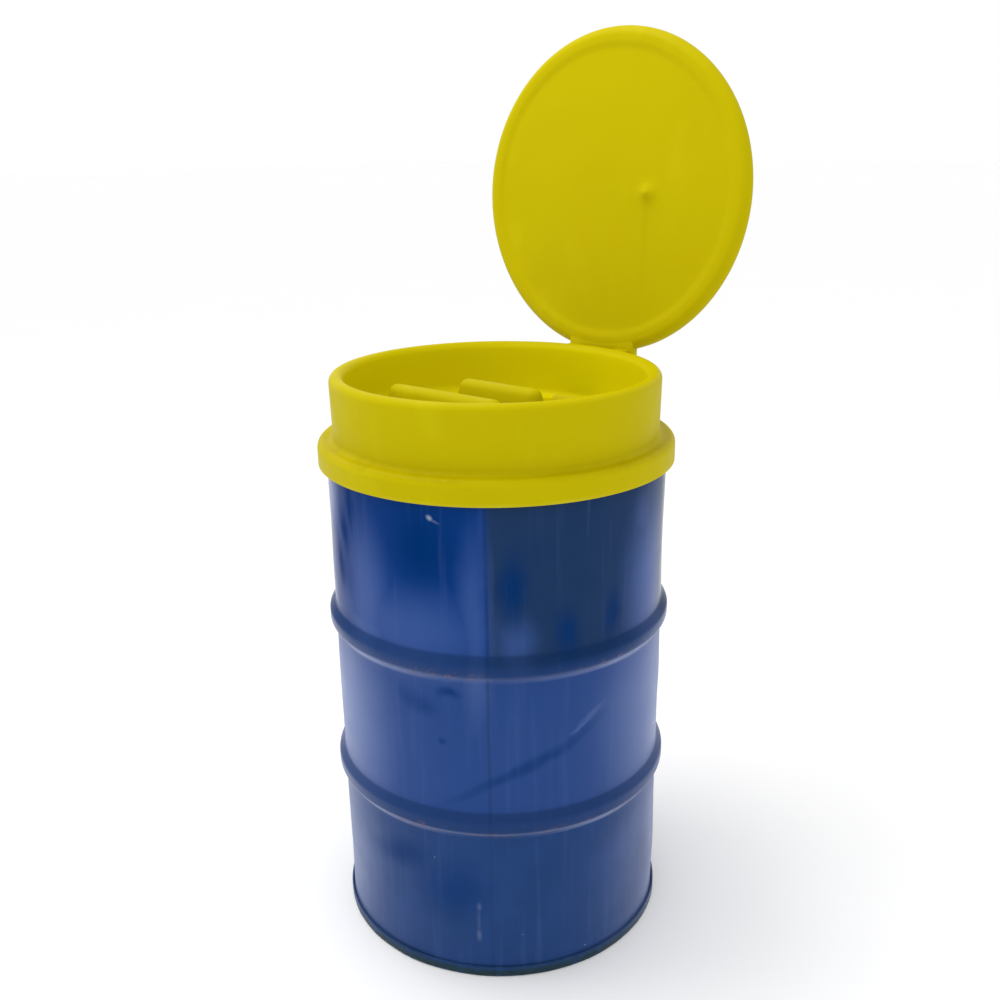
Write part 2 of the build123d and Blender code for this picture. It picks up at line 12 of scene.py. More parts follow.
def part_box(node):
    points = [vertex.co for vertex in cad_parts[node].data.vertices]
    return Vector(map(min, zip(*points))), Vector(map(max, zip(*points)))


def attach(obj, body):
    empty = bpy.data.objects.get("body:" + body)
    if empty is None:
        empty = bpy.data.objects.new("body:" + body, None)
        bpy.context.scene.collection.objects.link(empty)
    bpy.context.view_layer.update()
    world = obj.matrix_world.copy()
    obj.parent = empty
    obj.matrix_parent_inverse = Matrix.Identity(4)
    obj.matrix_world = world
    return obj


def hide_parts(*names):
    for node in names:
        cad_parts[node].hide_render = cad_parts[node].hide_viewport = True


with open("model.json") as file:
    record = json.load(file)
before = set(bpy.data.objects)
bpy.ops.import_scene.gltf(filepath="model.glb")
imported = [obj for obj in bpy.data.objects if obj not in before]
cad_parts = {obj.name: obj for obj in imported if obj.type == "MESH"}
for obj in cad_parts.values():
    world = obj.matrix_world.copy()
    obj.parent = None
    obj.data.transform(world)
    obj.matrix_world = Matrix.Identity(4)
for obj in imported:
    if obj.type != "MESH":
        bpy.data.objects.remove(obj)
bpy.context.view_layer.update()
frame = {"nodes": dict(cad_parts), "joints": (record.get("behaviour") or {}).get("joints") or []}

SCENE = bpy.context.scene
MM = 0.001

# ======== sizes, from the frame where it holds them
_, SHELL_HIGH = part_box("drum_shell")
FUNNEL_LOW, FUNNEL_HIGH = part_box("funnel_body")
SPOUT_LOW, SPOUT_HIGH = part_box("spout_fitting")
HINGE = next(j for j in frame["joints"] if j["name"] == "lid_hinge")
HINGE_POINT = Vector(HINGE["pos_m"])
LID_OPEN = radians(-HINGE["range_deg"][0])

# Drum
SHEET = 1.5 * MM
HOOP_HEIGHTS = (301 * MM, 583 * MM)
HOOP_BASE = 20 * MM                 # half of a hoop's height where it leaves the wall
HOOP_CREST = 9 * MM                 # half of its height at its crest
HOOP_BEND = 7 * MM
HOOP_DEPTH = 11.25 * MM
HOOP_R = SHELL_HIGH.x - SHEET / 2
SHELL_R = HOOP_R - HOOP_DEPTH
DRUM_TOP = 884 * MM
SEAM_PITCH = 1.6 * MM               # from the middle of one layer of a seam to the next
SEAM_HEIGHT = 18 * MM
HOOK_GAP = 0.05 * MM                # play between the hooked layers
HOOK_END = 15.5 * MM                # how far the body's hook reaches back along the wall
COVER_END = 5 * MM                  # how near to the floor the head's own hook ends
FOLD_BEND = 1.55 * MM
CHIME_BEND = 2.5 * MM
HEAD_BEND = 6 * MM
HEAD_DEPTH = 23.25 * MM
WELD_ANGLE = radians(-54)           # the body sheet's vertical weld, round from +X
WELD_HALF = 5 * MM
WELD_DEPTH = 0.5 * MM

# Funnel
SKIRT_R = FUNNEL_HIGH.x
SKIRT_BOTTOM = FUNNEL_LOW.z
RIM_TOP = 997.5 * MM
SKIN = 6 * MM
LEDGE_TOP = 890.3 * MM
WALL_R = 274.5 * MM
RIM_ROLL = 12 * MM
RIM_MID_R = 264.2 * MM
RIM_MID_Z = RIM_TOP - RIM_ROLL
BOWL_R = RIM_MID_R - RIM_ROLL
SPOUT_Y = (SPOUT_LOW.y + SPOUT_HIGH.y) / 2
FLOOR_LOW = 900 * MM
FLOOR_SLOPE = tan(radians(3.67))
FLOOR_FILLET = 15 * MM
SUMP_R = 33 * MM
SUMP_TOP = 896 * MM
SUMP_HOLE_R = 25.3 * MM
SUMP_TURNS = 72
RIB_TOP = 958 * MM
RIB_WIDTH = 37 * MM
RIB_OFFSET = 53 * MM
RIB_END = 194 * MM
RIB_SHORT_END = -123 * MM
RIB_NOTCH = (55 * MM, 79 * MM)
RIB_CORNER = 18 * MM
RIB_ROUND = 16 * MM
RIB_FOOT = 7 * MM
RIB_WAIST = 936 * MM                # a ring of points part way up a rib's side
FLOOR_GAP = 2 * MM                  # flat floor kept free round a rib's fillet and the sump
LEDGE_BENDS = (9 * MM, 12 * MM)
SKIRT_LIP = 2.5 * MM
WALL_STEP = 9 * MM                  # between rings of points on the walls
BOSS_HALF = 37.5 * MM
BOSS_INNER = WALL_R - 4 * MM        # the boss starts inside the funnel's wall
BOSS_FOOT = 916 * MM
BOSS_HEEL = (WALL_R + 2 * MM, 919 * MM)
BOSS_NOSE = 955 * MM
BOSS_BEND = 6 * MM
STOP_Y = 314 * MM                   # face of the shelf that stops the open lid
KNUCKLE_R = 9.5 * MM
KNUCKLE_BEND = KNUCKLE_R * 0.98     # a hair under the radius, so two bends fit side by side
PIN_R = 3.4 * MM

# Lid, in its closed place
LID_R = 277.6 * MM
LID_SEAT = RIM_TOP + 0.3 * MM
LID_EDGE = 25 * MM
LID_CROWN = 29 * MM
LID_DISH = 3 * MM
LID_DISH_R = 240 * MM
LID_RING_R = 252 * MM               # inside of the ring that rests on the rim
LID_SHOULDER = 30 * MM              # how far in from its edge the lid's top starts to rise
LID_BENDS = (20 * MM, 20 * MM, 17 * MM, 7 * MM, 60 * MM)
LID_FLAT_R = 245 * MM               # the underside waves less and less from here outwards
EAR_IN = 38 * MM
EAR_OUT = 67 * MM
NECK_BOTTOM = 998 * MM
NECK_TOP = 1018 * MM
NECK_START = 258 * MM
NECK_END = 295.5 * MM
NECK_RIGHT = 74 * MM
NECK_CORNER = 5 * MM
NECK_BEVEL = 4 * MM
EAR_TOP = NECK_BOTTOM + 8 * MM
LID_DROP = 7 * MM                   # the lid's edge reaches this much nearer to its hinge
VENT_X = 82 * MM
MOUND_RISE = 7.5 * MM               # swelling round the lid's vent
MOUND_R = 13 * MM
NUB_R = 7.5 * MM
NUB_DROP = 8.2 * MM
NUB_DOME = 6.5 * MM
NUB_LIP_R = 8 * MM
STEM_R = 3.4 * MM
RECESS_R = 7 * MM                   # the ears are recessed for the bolt's head and nut
RECESS_FLOOR = 58.5 * MM


# ======== camera
CAMERA_AROUND = radians(39.75)      # from the drum's -Y side towards +X
CAMERA_DISTANCE = 1.8257
CAMERA_HEIGHT = 1.3522
CAMERA_TURN = -0.0023               # radians
CAMERA_DOWN = 0.3377
CAMERA_ROLL = -0.0141
CAMERA_LENS = 39.72                 # mm, for a sensor 36 mm wide
CAMERA_SENSOR = 36
CAMERA_SHIFT = 0.03


def make_camera():
    """Camera at the reference view: above the rim, looking down past the open lid's face."""
    heading = CAMERA_AROUND + CAMERA_TURN
    ahead = Vector((-sin(heading) * cos(CAMERA_DOWN), cos(heading) * cos(CAMERA_DOWN), -sin(CAMERA_DOWN)))
    level = Vector((cos(heading), sin(heading), 0))
    above = level.cross(ahead)
    right = cos(CAMERA_ROLL) * level + sin(CAMERA_ROLL) * above
    up = cos(CAMERA_ROLL) * above - sin(CAMERA_ROLL) * level
    camera = bpy.data.objects.new("camera", bpy.data.cameras.new("camera"))
    SCENE.collection.objects.link(camera)
    camera.matrix_world = Matrix.Translation((
        CAMERA_DISTANCE * sin(CAMERA_AROUND), -CAMERA_DISTANCE * cos(CAMERA_AROUND), CAMERA_HEIGHT,
    )) @ Matrix((right, up, -ahead)).transposed().to_4x4()
    camera.data.lens = CAMERA_LENS
    camera.data.sensor_width = CAMERA_SENSOR
    camera.data.shift_y = CAMERA_SHIFT
    SCENE.camera = camera


make_camera()


# ======== outlines and meshes
def rounded(points, radii, turn_step=15):
    """Open line through (a, b) points, each inner corner rounded to its radius."""
    points = [np.array(p, float) for p in points]
    line = [points[0]]
    for before, corner, after, radius in zip(points, points[1:], points[2:], radii):
        if radius == 0:
            line.append(corner)
            continue
        u = (before - corner) / np.linalg.norm(before - corner)
        v = (after - corner) / np.linalg.norm(after - corner)
        half = np.arccos(np.clip(u @ v, -1, 1)) / 2
        centre = corner + (u + v) / np.linalg.norm(u + v) * radius / sin(half)
        first = corner + u * radius / tan(half) - centre
        last = corner + v * radius / tan(half) - centre
        turn = pi - 2 * half
        steps = max(2, round(np.degrees(turn) / turn_step))
        for k in range(steps + 1):
            t = k / steps
            line.append(centre + (sin((1 - t) * turn) * first + sin(t * turn) * last) / sin(turn))
    line.append(points[-1])
    return np.array(line)


def divided(line, run):
    """The same line with its long straight runs cut to at most run."""
    cut = [line[0]]
    for a, b in zip(line, line[1:]):
        parts = max(1, int(np.ceil(np.linalg.norm(b - a) / run)))
        cut += [a + (b - a) * k / parts for k in range(1, parts + 1)]
    return np.array(cut)


def beside(line, distance):
    """The line moved sideways, to the right of its direction for a positive distance."""
    steps = np.diff(line, axis=0)
    steps /= np.linalg.norm(steps, axis=1)[:, None]
    normals = np.stack((steps[:, 1], -steps[:, 0]), axis=1)
    ends = np.vstack((normals[:1], normals[:-1] + normals[1:], normals[-1:]))
    ends /= np.linalg.norm(ends, axis=1)[:, None]
    lean = np.ones(len(line))
    lean[1:-1] = (ends[1:-1] * normals[1:]).sum(1)
    return line + ends * (distance / lean)[:, None]


def sheet_section(line, thickness):
    """Closed outline of a sheet of that thickness that follows a middle line."""
    return np.vstack((beside(line, thickness / 2), beside(line, -thickness / 2)[::-1]))


def turned(outline, angles, closed=True):
    """Vertices and faces of an outline of (radius, height) points turned round Z.
    A closed outline comes round to its start; an open one runs from axis to axis."""
    angles = np.asarray(angles)
    n = len(outline)
    radius, height = outline[:, 0], outline[:, 1]
    grid = np.empty((len(angles), n, 3))
    grid[:, :, 0] = radius[None, :] * np.cos(angles)[:, None]
    grid[:, :, 1] = radius[None, :] * np.sin(angles)[:, None]
    grid[:, :, 2] = height[None, :]
    turns = len(angles)
    a = np.arange(turns)[:, None]
    b = (a + 1) % turns
    i = np.arange(n if closed else n - 1)[None, :]
    j = (i + 1) % n
    faces = np.stack((a * n + i, b * n + i, b * n + j, a * n + j), axis=-1).reshape(-1, 4)
    return grid.reshape(-1, 3), faces


def make_mesh(name, vertices, faces):
    """Object from vertices and faces, with coincident points joined and normals outwards."""
    mesh = bpy.data.meshes.new(name)
    mesh.from_pydata([tuple(v) for v in vertices], [], [tuple(f) for f in faces])
    work = bmesh.new()
    work.from_mesh(mesh)
    bmesh.ops.remove_doubles(work, verts=work.verts, dist=1e-6)
    bmesh.ops.dissolve_degenerate(work, edges=work.edges, dist=1e-7)
    bmesh.ops.recalc_face_normals(work, faces=work.faces)
    work.to_mesh(mesh)
    work.free()
    piece = bpy.data.objects.new(name, mesh)
    SCENE.collection.objects.link(piece)
    return piece


def apply_modifiers(piece):
    """Replace a piece's mesh with what its modifiers make of it."""
    bpy.context.view_layer.update()
    shown = piece.evaluated_get(bpy.context.evaluated_depsgraph_get())
    made = bpy.data.meshes.new_from_object(shown)
    piece.modifiers.clear()
    old = piece.data
    piece.data = made
    bpy.data.meshes.remove(old)
    made.name = piece.name


SHARP_ANGLE = radians(38)


def finish_piece(piece, material, body, slot, *nodes):
    """Give a finished mesh its shading, material and body, and hide the CAD nodes it stands for; slot is not
    used.
    """
    piece.data.shade_smooth()
    piece.data.set_sharp_from_angle(angle=SHARP_ANGLE)
    piece.data.materials.clear()
    piece.data.materials.append(material)
    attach(piece, body)
    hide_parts(*nodes)


def discard(piece):
    """Remove a helper object and its mesh."""
    mesh = piece.data
    bpy.data.objects.remove(piece)
    bpy.data.meshes.remove(mesh)


def join(target, *others):
    """Merge other meshes into the target object."""
    work = bmesh.new()
    work.from_mesh(target.data)
    for other in others:
        work.from_mesh(other.data)
    work.to_mesh(target.data)
    work.free()
    for other in others:
        discard(other)


def scale_round(piece, scale):
    """Move each vertex from or towards the Z axis by its own factor."""
    for vertex, factor in zip(piece.data.vertices, scale):
        vertex.co.x *= factor
        vertex.co.y *= factor


def prism(outline, start, end):
    """Vertices and faces of a solid between two x, from its closed (y, z) outline."""
    n = len(outline)
    vertices = [(x, a, b) for x in (start, end) for a, b in outline]
    faces = [tuple(range(n)), tuple(range(n, 2 * n))]
    faces += [(k, (k + 1) % n, n + (k + 1) % n, n + k) for k in range(n)]
    return vertices, faces


class Waves:
    """Smooth seeded unevenness over a surface: a sum of a few waves, about -1 to 1."""

    def __init__(self, seed, count, lowest, highest):
        random = np.random.default_rng(seed)
        directions = random.normal(size=(count, 3))
        directions /= np.linalg.norm(directions, axis=1)[:, None]
        self.waves = directions * random.uniform(lowest, highest, count)[:, None]
        self.phases = random.uniform(0, 2 * pi, count)

    def __call__(self, points):
        """Value at each point, for waves per metre between lowest and highest."""
        return np.sin(2 * pi * points @ self.waves.T + self.phases).sum(1) / sqrt(len(self.phases))


# ======== node materials
def srgb(red, green, blue):
    """Linear colour for a screen colour of 0 to 255."""
    channels = [c / 255 for c in (red, green, blue)]
    linear = [c / 12.92 if c <= 0.04045 else ((c + 0.055) / 1.055) ** 2.4 for c in channels]
    return (*linear, 1.0)


PATCH_SOFT = 0.9


class Finish:
    """A material under construction, with short calls for the nodes that the finishes share."""

    def __init__(self, name, **constants):
        self.material = bpy.data.materials.new(name)
        self.material.use_nodes = True
        self.tree = self.material.node_tree
        self.shader = self.tree.nodes["Principled BSDF"]
        for socket, value in constants.items():
            self.shader.inputs[socket.replace("_", " ")].default_value = value
        coordinates = self.tree.nodes.new("ShaderNodeTexCoord")
        self.place = coordinates.outputs["Object"]
        split = self.tree.nodes.new("ShaderNodeSeparateXYZ")
        self.tree.links.new(self.place, split.inputs[0])
        self.x, self.y, self.z = split.outputs
        self.relief = None

    def put(self, socket, value):
        """Link an output to a socket, or set a number on it."""
        if isinstance(value, bpy.types.NodeSocket):
            self.tree.links.new(value, socket)
        else:
            socket.default_value = value

    def math(self, operation, a, b=0.0, clamp=False):
        """One operation on two outputs or numbers."""
        node = self.tree.nodes.new("ShaderNodeMath")
        node.operation = operation
        node.use_clamp = clamp
        self.put(node.inputs[0], a)
        self.put(node.inputs[1], b)
        return node.outputs[0]

    def product(self, *values):
        """All the values multiplied together."""
        total = values[0]
        for value in values[1:]:
            total = self.math("MULTIPLY", total, value)
        return total

    def band(self, value, low, high, to_low=0.0, to_high=1.0):
        """Smooth step of a value from to_low at low to to_high at high."""
        node = self.tree.nodes.new("ShaderNodeMapRange")
        node.interpolation_type = "SMOOTHSTEP"
        for socket, given in zip(("Value", "From Min", "From Max", "To Min", "To Max"),
                                 (value, low, high, to_low, to_high)):
            self.put(node.inputs[socket], given)
        return node.outputs["Result"]

    def near(self, value, middle, reach, soft):
        """1 where the value is within reach of middle, falling to 0 over soft."""
        away = self.math("ABSOLUTE", self.math("SUBTRACT", value, middle))
        return self.band(away, reach, reach + soft, 1.0, 0.0)

    def most(self, values):
        """The largest of several values."""
        top = values[0]
        for value in values[1:]:
            top = self.math("MAXIMUM", top, value)
        return top

    def patch(self, around, height, places):
        """Strongest of several soft ovals on a drum's wall, each (degrees round, height, half width,
        half height, strength, slope), laid over outputs that hold the way round and the height."""
        found = []
        for at, level, wide, tall, strength, slope in places:
            across = self.math("SUBTRACT", around, radians(at) * SHELL_R)
            rise = self.math("SUBTRACT", height, level)
            if slope:
                rise = self.math("SUBTRACT", rise, self.math("MULTIPLY", across, slope))
            away = self.math("SQRT", self.math(
                "ADD", self.math("POWER", self.math("ABSOLUTE", self.math("DIVIDE", across, wide)), 2.0),
                self.math("POWER", self.math("ABSOLUTE", self.math("DIVIDE", rise, tall)), 2.0),
            ))
            found.append(self.band(away, 1.0 + PATCH_SOFT / 2, 1.0 - PATCH_SOFT, 0.0, strength))
        return self.most(found)

    def stretched(self, scale, turn=(0, 0, 0)):
        """The object's coordinates, turned (degrees) and scaled along each axis."""
        node = self.tree.nodes.new("ShaderNodeMapping")
        self.put(node.inputs["Vector"], self.place)
        node.inputs["Rotation"].default_value = [radians(t) for t in turn]
        node.inputs["Scale"].default_value = scale
        return node.outputs[0]

    def noise(self, scale, detail=3.0, roughness=0.5, place=None):
        """Cloudy pattern of 0 to 1."""
        node = self.tree.nodes.new("ShaderNodeTexNoise")
        self.put(node.inputs["Vector"], place or self.place)
        node.inputs["Scale"].default_value = scale
        node.inputs["Detail"].default_value = detail
        node.inputs["Roughness"].default_value = roughness
        return node.outputs["Fac"]

    def cells(self, scale):
        """Distance to the nearest of scattered points."""
        node = self.tree.nodes.new("ShaderNodeTexVoronoi")
        self.put(node.inputs["Vector"], self.place)
        node.inputs["Scale"].default_value = scale
        return node.outputs["Distance"]

    def mix(self, factor, a, b):
        """Colour a, changing to b as factor goes from 0 to 1."""
        node = self.tree.nodes.new("ShaderNodeMix")
        node.data_type = "RGBA"
        self.put(node.inputs["Factor"], factor)
        self.put(node.inputs[6], a)
        self.put(node.inputs[7], b)
        return node.outputs[2]

    def bump(self, height, depth):
        """Lay a height pattern, depth metres high, over the relief so far."""
        node = self.tree.nodes.new("ShaderNodeBump")
        node.inputs["Strength"].default_value = 1.0
        node.inputs["Distance"].default_value = depth
        self.put(node.inputs["Height"], height)
        if self.relief is not None:
            self.put(node.inputs["Normal"], self.relief)
        self.relief = node.outputs[0]
        self.put(self.shader.inputs["Normal"], self.relief)

    def colour(self, value):
        self.put(self.shader.inputs["Base Color"], value)

    def roughness(self, value):
        self.put(self.shader.inputs["Roughness"], value)


# Where the paint of the drum's wall differs, as soft ovals: (degrees round, height, half width, half height,
# strength, slope).
# The pale ones are partly chalked paint and partly painted pale reflection; the dark ones are partly clean
# paint and partly painted dark reflection.
PALE_CHALK_AND_REFLECTION = [
    (-97, 0.665, 0.050, 0.125, 0.95, 0), (-80, 0.630, 0.150, 0.072, 0.90, 0),
    (-58, 0.660, 0.026, 0.150, 0.80, 0), (-45, 0.630, 0.034, 0.042, 0.70, 0),
    (8, 0.665, 0.070, 0.150, 0.95, 0), (-121, 0.820, 0.034, 0.060, 1.0, 0),
    (60, 0.700, 0.120, 0.110, 0.70, 0), (120, 0.650, 0.160, 0.080, 0.80, 0),
    (165, 0.730, 0.050, 0.110, 0.80, 0), (-18, 0.485, 0.030, 0.008, 0.50, 0.5),
    (-22, 0.470, 0.024, 0.004, 0.60, 0.4), (4, 0.780, 0.030, 0.060, 0.55, 0),
    (-98, 0.615, 0.060, 0.030, 0.95, 0), (-106, 0.440, 0.085, 0.170, 0.80, 0),
    (8, 0.440, 0.110, 0.170, 0.90, 0), (6, 0.150, 0.110, 0.190, 0.85, 0),
    (-106, 0.190, 0.065, 0.110, 0.70, 0),
]
DARK_CLEAN_AND_REFLECTION = [
    (-46, 0.715, 0.024, 0.055, 0.90, 0), (-29, 0.630, 0.022, 0.042, 0.80, 0),
    (-12, 0.645, 0.020, 0.045, 0.70, 0), (-68, 0.537, 0.022, 0.009, 0.80, 0),
    (-78, 0.512, 0.034, 0.018, 0.45, -0.3), (-69, 0.452, 0.006, 0.006, 0.60, 0),
    (-42, 0.405, 0.130, 0.013, 0.60, 0.5), (-88, 0.215, 0.070, 0.030, 0.55, 0.2),
    (-66, 0.170, 0.060, 0.060, 0.55, 0), (75, 0.430, 0.080, 0.050, 0.60, 0.4),
    (140, 0.200, 0.090, 0.050, 0.60, 0), (-105, 0.815, 0.016, 0.045, 0.90, 0),
    (-110, 0.765, 0.018, 0.040, 0.95, 0), (-115, 0.705, 0.018, 0.045, 0.95, 0),
    (-74, 0.775, 0.052, 0.070, 0.90, 0),
]
CHIPS = [
    (-71.0, 0.826, 0.0052, 0.0044, 0.62, -0.3), (-69.4, 0.821, 0.0080, 0.0024, 0.18, -0.4),
    (-58.5, 0.112, 0.0034, 0.034, 0.06, 0), (-58.5, 0.082, 0.0046, 0.012, 0.15, 0),
    (-58.3, 0.140, 0.0042, 0.008, 0.13, 0), (95, 0.720, 0.005, 0.004, 0.8, 0),
    (20, 0.380, 0.004, 0.004, 0.6, 0), (-150, 0.240, 0.005, 0.003, 0.7, 0),
]


def blue_paint():
    """Old gloss enamel on steel: chalked in places, rusted at the hoops, chipped and scuffed, with painted
    shade and painted reflections on its panels and a painted highlight under each hoop.
    """
    paint = Finish("blue_paint")
    angle = paint.math("ARCTAN2", paint.y, paint.x)
    wobble = paint.math("SUBTRACT", paint.noise(9.0, 4, 0.55), 0.5)
    tall = paint.stretched((1.0, 1.0, 0.6), (0, 0, 50))
    wobble_up = paint.math("SUBTRACT", paint.noise(7.0, 4, 0.55, tall), 0.5)
    around = paint.math("MULTIPLY", angle, SHELL_R)
    drift = paint.math("ADD", around, paint.math("MULTIPLY", wobble, 36 * MM))
    lift = paint.math("ADD", paint.z, paint.math("MULTIPLY", wobble_up, 44 * MM))
    upper = paint.band(paint.z, HOOP_HEIGHTS[1] - 20 * MM, HOOP_HEIGHTS[1] + 20 * MM)
    lowest = paint.band(paint.z, HOOP_HEIGHTS[0] + 12 * MM, HOOP_HEIGHTS[0] - 24 * MM)
    chalk_and_reflection = paint.patch(drift, lift, PALE_CHALK_AND_REFLECTION)
    clean_and_dark_reflection = paint.patch(drift, lift, DARK_CLEAN_AND_REFLECTION)
    mottle = paint.noise(5.0, 5, 0.6)
    # The top panel is painted deeper and darker: painted shade under the funnel's skirt and a painted dark
    # reflection. Past the weld it is painted greyer and darker: painted shade with a painted grey reflection.
    # The two lower panels are paler, with chalk and painted pale reflection.
    tone = paint.mix(mottle, srgb(0, 44, 108), srgb(4, 56, 124))
    # Past the weld the top panel is painted greyer and darker: painted shade with a painted grey reflection.
    past_weld_shade = paint.product(paint.band(angle, WELD_ANGLE - 0.01, WELD_ANGLE + 0.03),
                           paint.band(angle, WELD_ANGLE + 2.6, WELD_ANGLE + 2.2))
    tone = paint.mix(paint.product(past_weld_shade, paint.band(upper, 0, 1, 0.25, 1.0)), tone,
                     paint.mix(paint.noise(6.0, 4), srgb(12, 44, 84), srgb(38, 60, 96)))
    # Pale patches: chalked paint and painted pale reflection.
    tone = paint.mix(paint.math("MULTIPLY", chalk_and_reflection, 0.85), tone, srgb(52, 82, 146))
    # Lower panels paler than the top panel, whose deeper tone is painted shade and painted dark reflection.
    lower_panel_tone = paint.mix(mottle, srgb(26, 62, 126), srgb(42, 74, 134))
    tone = paint.mix(paint.band(upper, 0.0, 1.0, 0.72, 0.0), tone, lower_panel_tone)
    # In the lower panels those patches are painted paler still: chalk and painted pale reflection.
    tone = paint.mix(paint.product(chalk_and_reflection, paint.math("SUBTRACT", 1.0, upper), 0.6), tone, srgb(84, 106, 158))
    seam = paint.product(paint.near(angle, WELD_ANGLE, 0.003, 0.012), 0.30)
    tone = paint.mix(seam, tone, srgb(8, 30, 62))
    cloud = paint.product(lowest, paint.band(paint.noise(7.5, 5, 0.6), 0.35, 0.70, 0.60, 1.0))
    tone = paint.mix(cloud, tone, srgb(14, 54, 106))
    # Dark patches: clean paint and painted dark reflection.
    tone = paint.mix(paint.math("MULTIPLY", clean_and_dark_reflection, 0.85), tone, srgb(0, 44, 100))
    # Fine runs down the wall and long rubbed streaks.
    runs = paint.noise(60.0, 3, 0.5, paint.stretched((1.0, 1.0, 0.05)))
    tone = paint.mix(paint.band(runs, 0.50, 0.75, 0.0, 0.16), tone, srgb(70, 92, 150))
    streaks = paint.noise(22.0, 4, 0.6, paint.stretched((1.0, 1.0, 0.16), (0, 28, 40)))
    scuffs = paint.product(paint.band(streaks, 0.62, 0.74), paint.band(paint.noise(3.1, 2), 0.50, 0.62))
    tone = paint.mix(paint.math("MULTIPLY", scuffs, 0.20), tone, srgb(98, 112, 150))
    # Hoops: the crest dark, and a pale line on the wall just under each one, a painted highlight.
    crests = paint.most([paint.near(paint.z, h + 2 * MM, 17 * MM, 7 * MM) for h in HOOP_HEIGHTS])
    tone = paint.mix(paint.math("MULTIPLY", crests, 0.62), tone, srgb(10, 44, 88))
    hoop_highlight = paint.most([paint.near(paint.z, h - 21.5 * MM, 1.6 * MM, 4 * MM) for h in HOOP_HEIGHTS])
    # The painted highlight is strongest on the two flanks, a quarter turn from the weld.
    flank_highlight = paint.math("MULTIPLY", paint.math("SINE", paint.math("SUBTRACT", angle, WELD_ANGLE)), 1.15)
    flank_highlight = paint.math("ADD", paint.product(flank_highlight, flank_highlight), 0.04, True)
    hoop_highlight = paint.product(hoop_highlight, paint.band(paint.noise(6.0, 3), 0.30, 0.60, 0.5, 1.0), flank_highlight)
    tone = paint.mix(paint.math("MULTIPLY", hoop_highlight, 0.90), tone, srgb(150, 160, 194))
    # Rust specks and a broken rust line under the hoops.
    grains = paint.noise(62.0, 5, 0.62)
    at_hoops = paint.most([paint.near(paint.z, h - 14 * MM, 6 * MM, 8 * MM) for h in HOOP_HEIGHTS])
    places = paint.band(paint.noise(10.0, 2), 0.44, 0.60)
    rust = paint.product(paint.band(grains, 0.52, 0.66), places, at_hoops)
    edge_line = paint.near(paint.z, HOOP_HEIGHTS[0] - 19.5 * MM, 0.8 * MM, 1.6 * MM)
    edge_line = paint.product(edge_line, paint.band(paint.noise(34.0, 3), 0.42, 0.58))
    rust = paint.math("MAXIMUM", rust, paint.math("MULTIPLY", edge_line, 0.75))
    rust_tone = paint.mix(grains, srgb(66, 60, 74), srgb(122, 92, 86))
    tone = paint.mix(paint.math("MULTIPLY", rust, 0.80), tone, rust_tone)
    # Weathered edge at the floor.
    uneven = paint.band(paint.noise(45.0, 4), 0.20, 0.50, 0.5, 1.0)
    foot = paint.product(paint.band(paint.z, 24 * MM, 8 * MM), uneven)
    tone = paint.mix(foot, tone, paint.mix(paint.noise(70.0, 3), srgb(8, 30, 40), srgb(34, 62, 70)))
    chips = paint.patch(around, paint.z, CHIPS)
    groups = paint.band(paint.noise(4.0, 1), 0.60, 0.64)
    specks = paint.product(paint.band(paint.cells(21.0), 0.05, 0.03), groups)
    chips = paint.math("MAXIMUM", chips, paint.math("MULTIPLY", specks, 0.3))
    tone = paint.mix(chips, tone, srgb(168, 178, 196))
    paint.colour(tone)
    worn = paint.most([rust, foot, paint.math("MULTIPLY", hoop_highlight, 0.3)])
    dull = paint.math("SUBTRACT", 1.0, upper)
    gloss = paint.band(paint.noise(14.0, 4), 0.3, 0.8, 0.14, 0.24)
    rough = paint.math("ADD", gloss, paint.product(dull, 0.14))
    paint.roughness(paint.math("ADD", rough, paint.math("MULTIPLY", worn, 0.35)))
    outside_clean_and_dark_reflection = paint.math("SUBTRACT", 1.0, paint.math("MULTIPLY", clean_and_dark_reflection, 0.9))
    shine = paint.math("ADD", paint.band(upper, 0, 1, 0.10, 0.035), paint.math("MULTIPLY", chalk_and_reflection, 0.05))
    paint.put(paint.shader.inputs["Specular IOR Level"], paint.product(shine, outside_clean_and_dark_reflection))
    film = paint.math("ADD", paint.math("MULTIPLY", dull, 0.42), paint.math("MULTIPLY", chalk_and_reflection, 0.26), True)
    paint.put(paint.shader.inputs["Sheen Weight"], paint.product(paint.math("ADD", film, 0.03), outside_clean_and_dark_reflection))
    paint.shader.inputs["Sheen Roughness"].default_value = 0.42
    paint.shader.inputs["Sheen Tint"].default_value = srgb(188, 196, 226)
    paint.bump(paint.noise(420.0, 2), 0.04 * MM)
    paint.bump(paint.math("ADD", rust, chips), -0.2 * MM)
    return paint.material


# Heights over which the painted shadow below the open lid's vent starts and fades.
NUB_SHADOW_TOP = (1.275, 1.250)
NUB_SHADOW_FOOT = (1.06, 1.22)


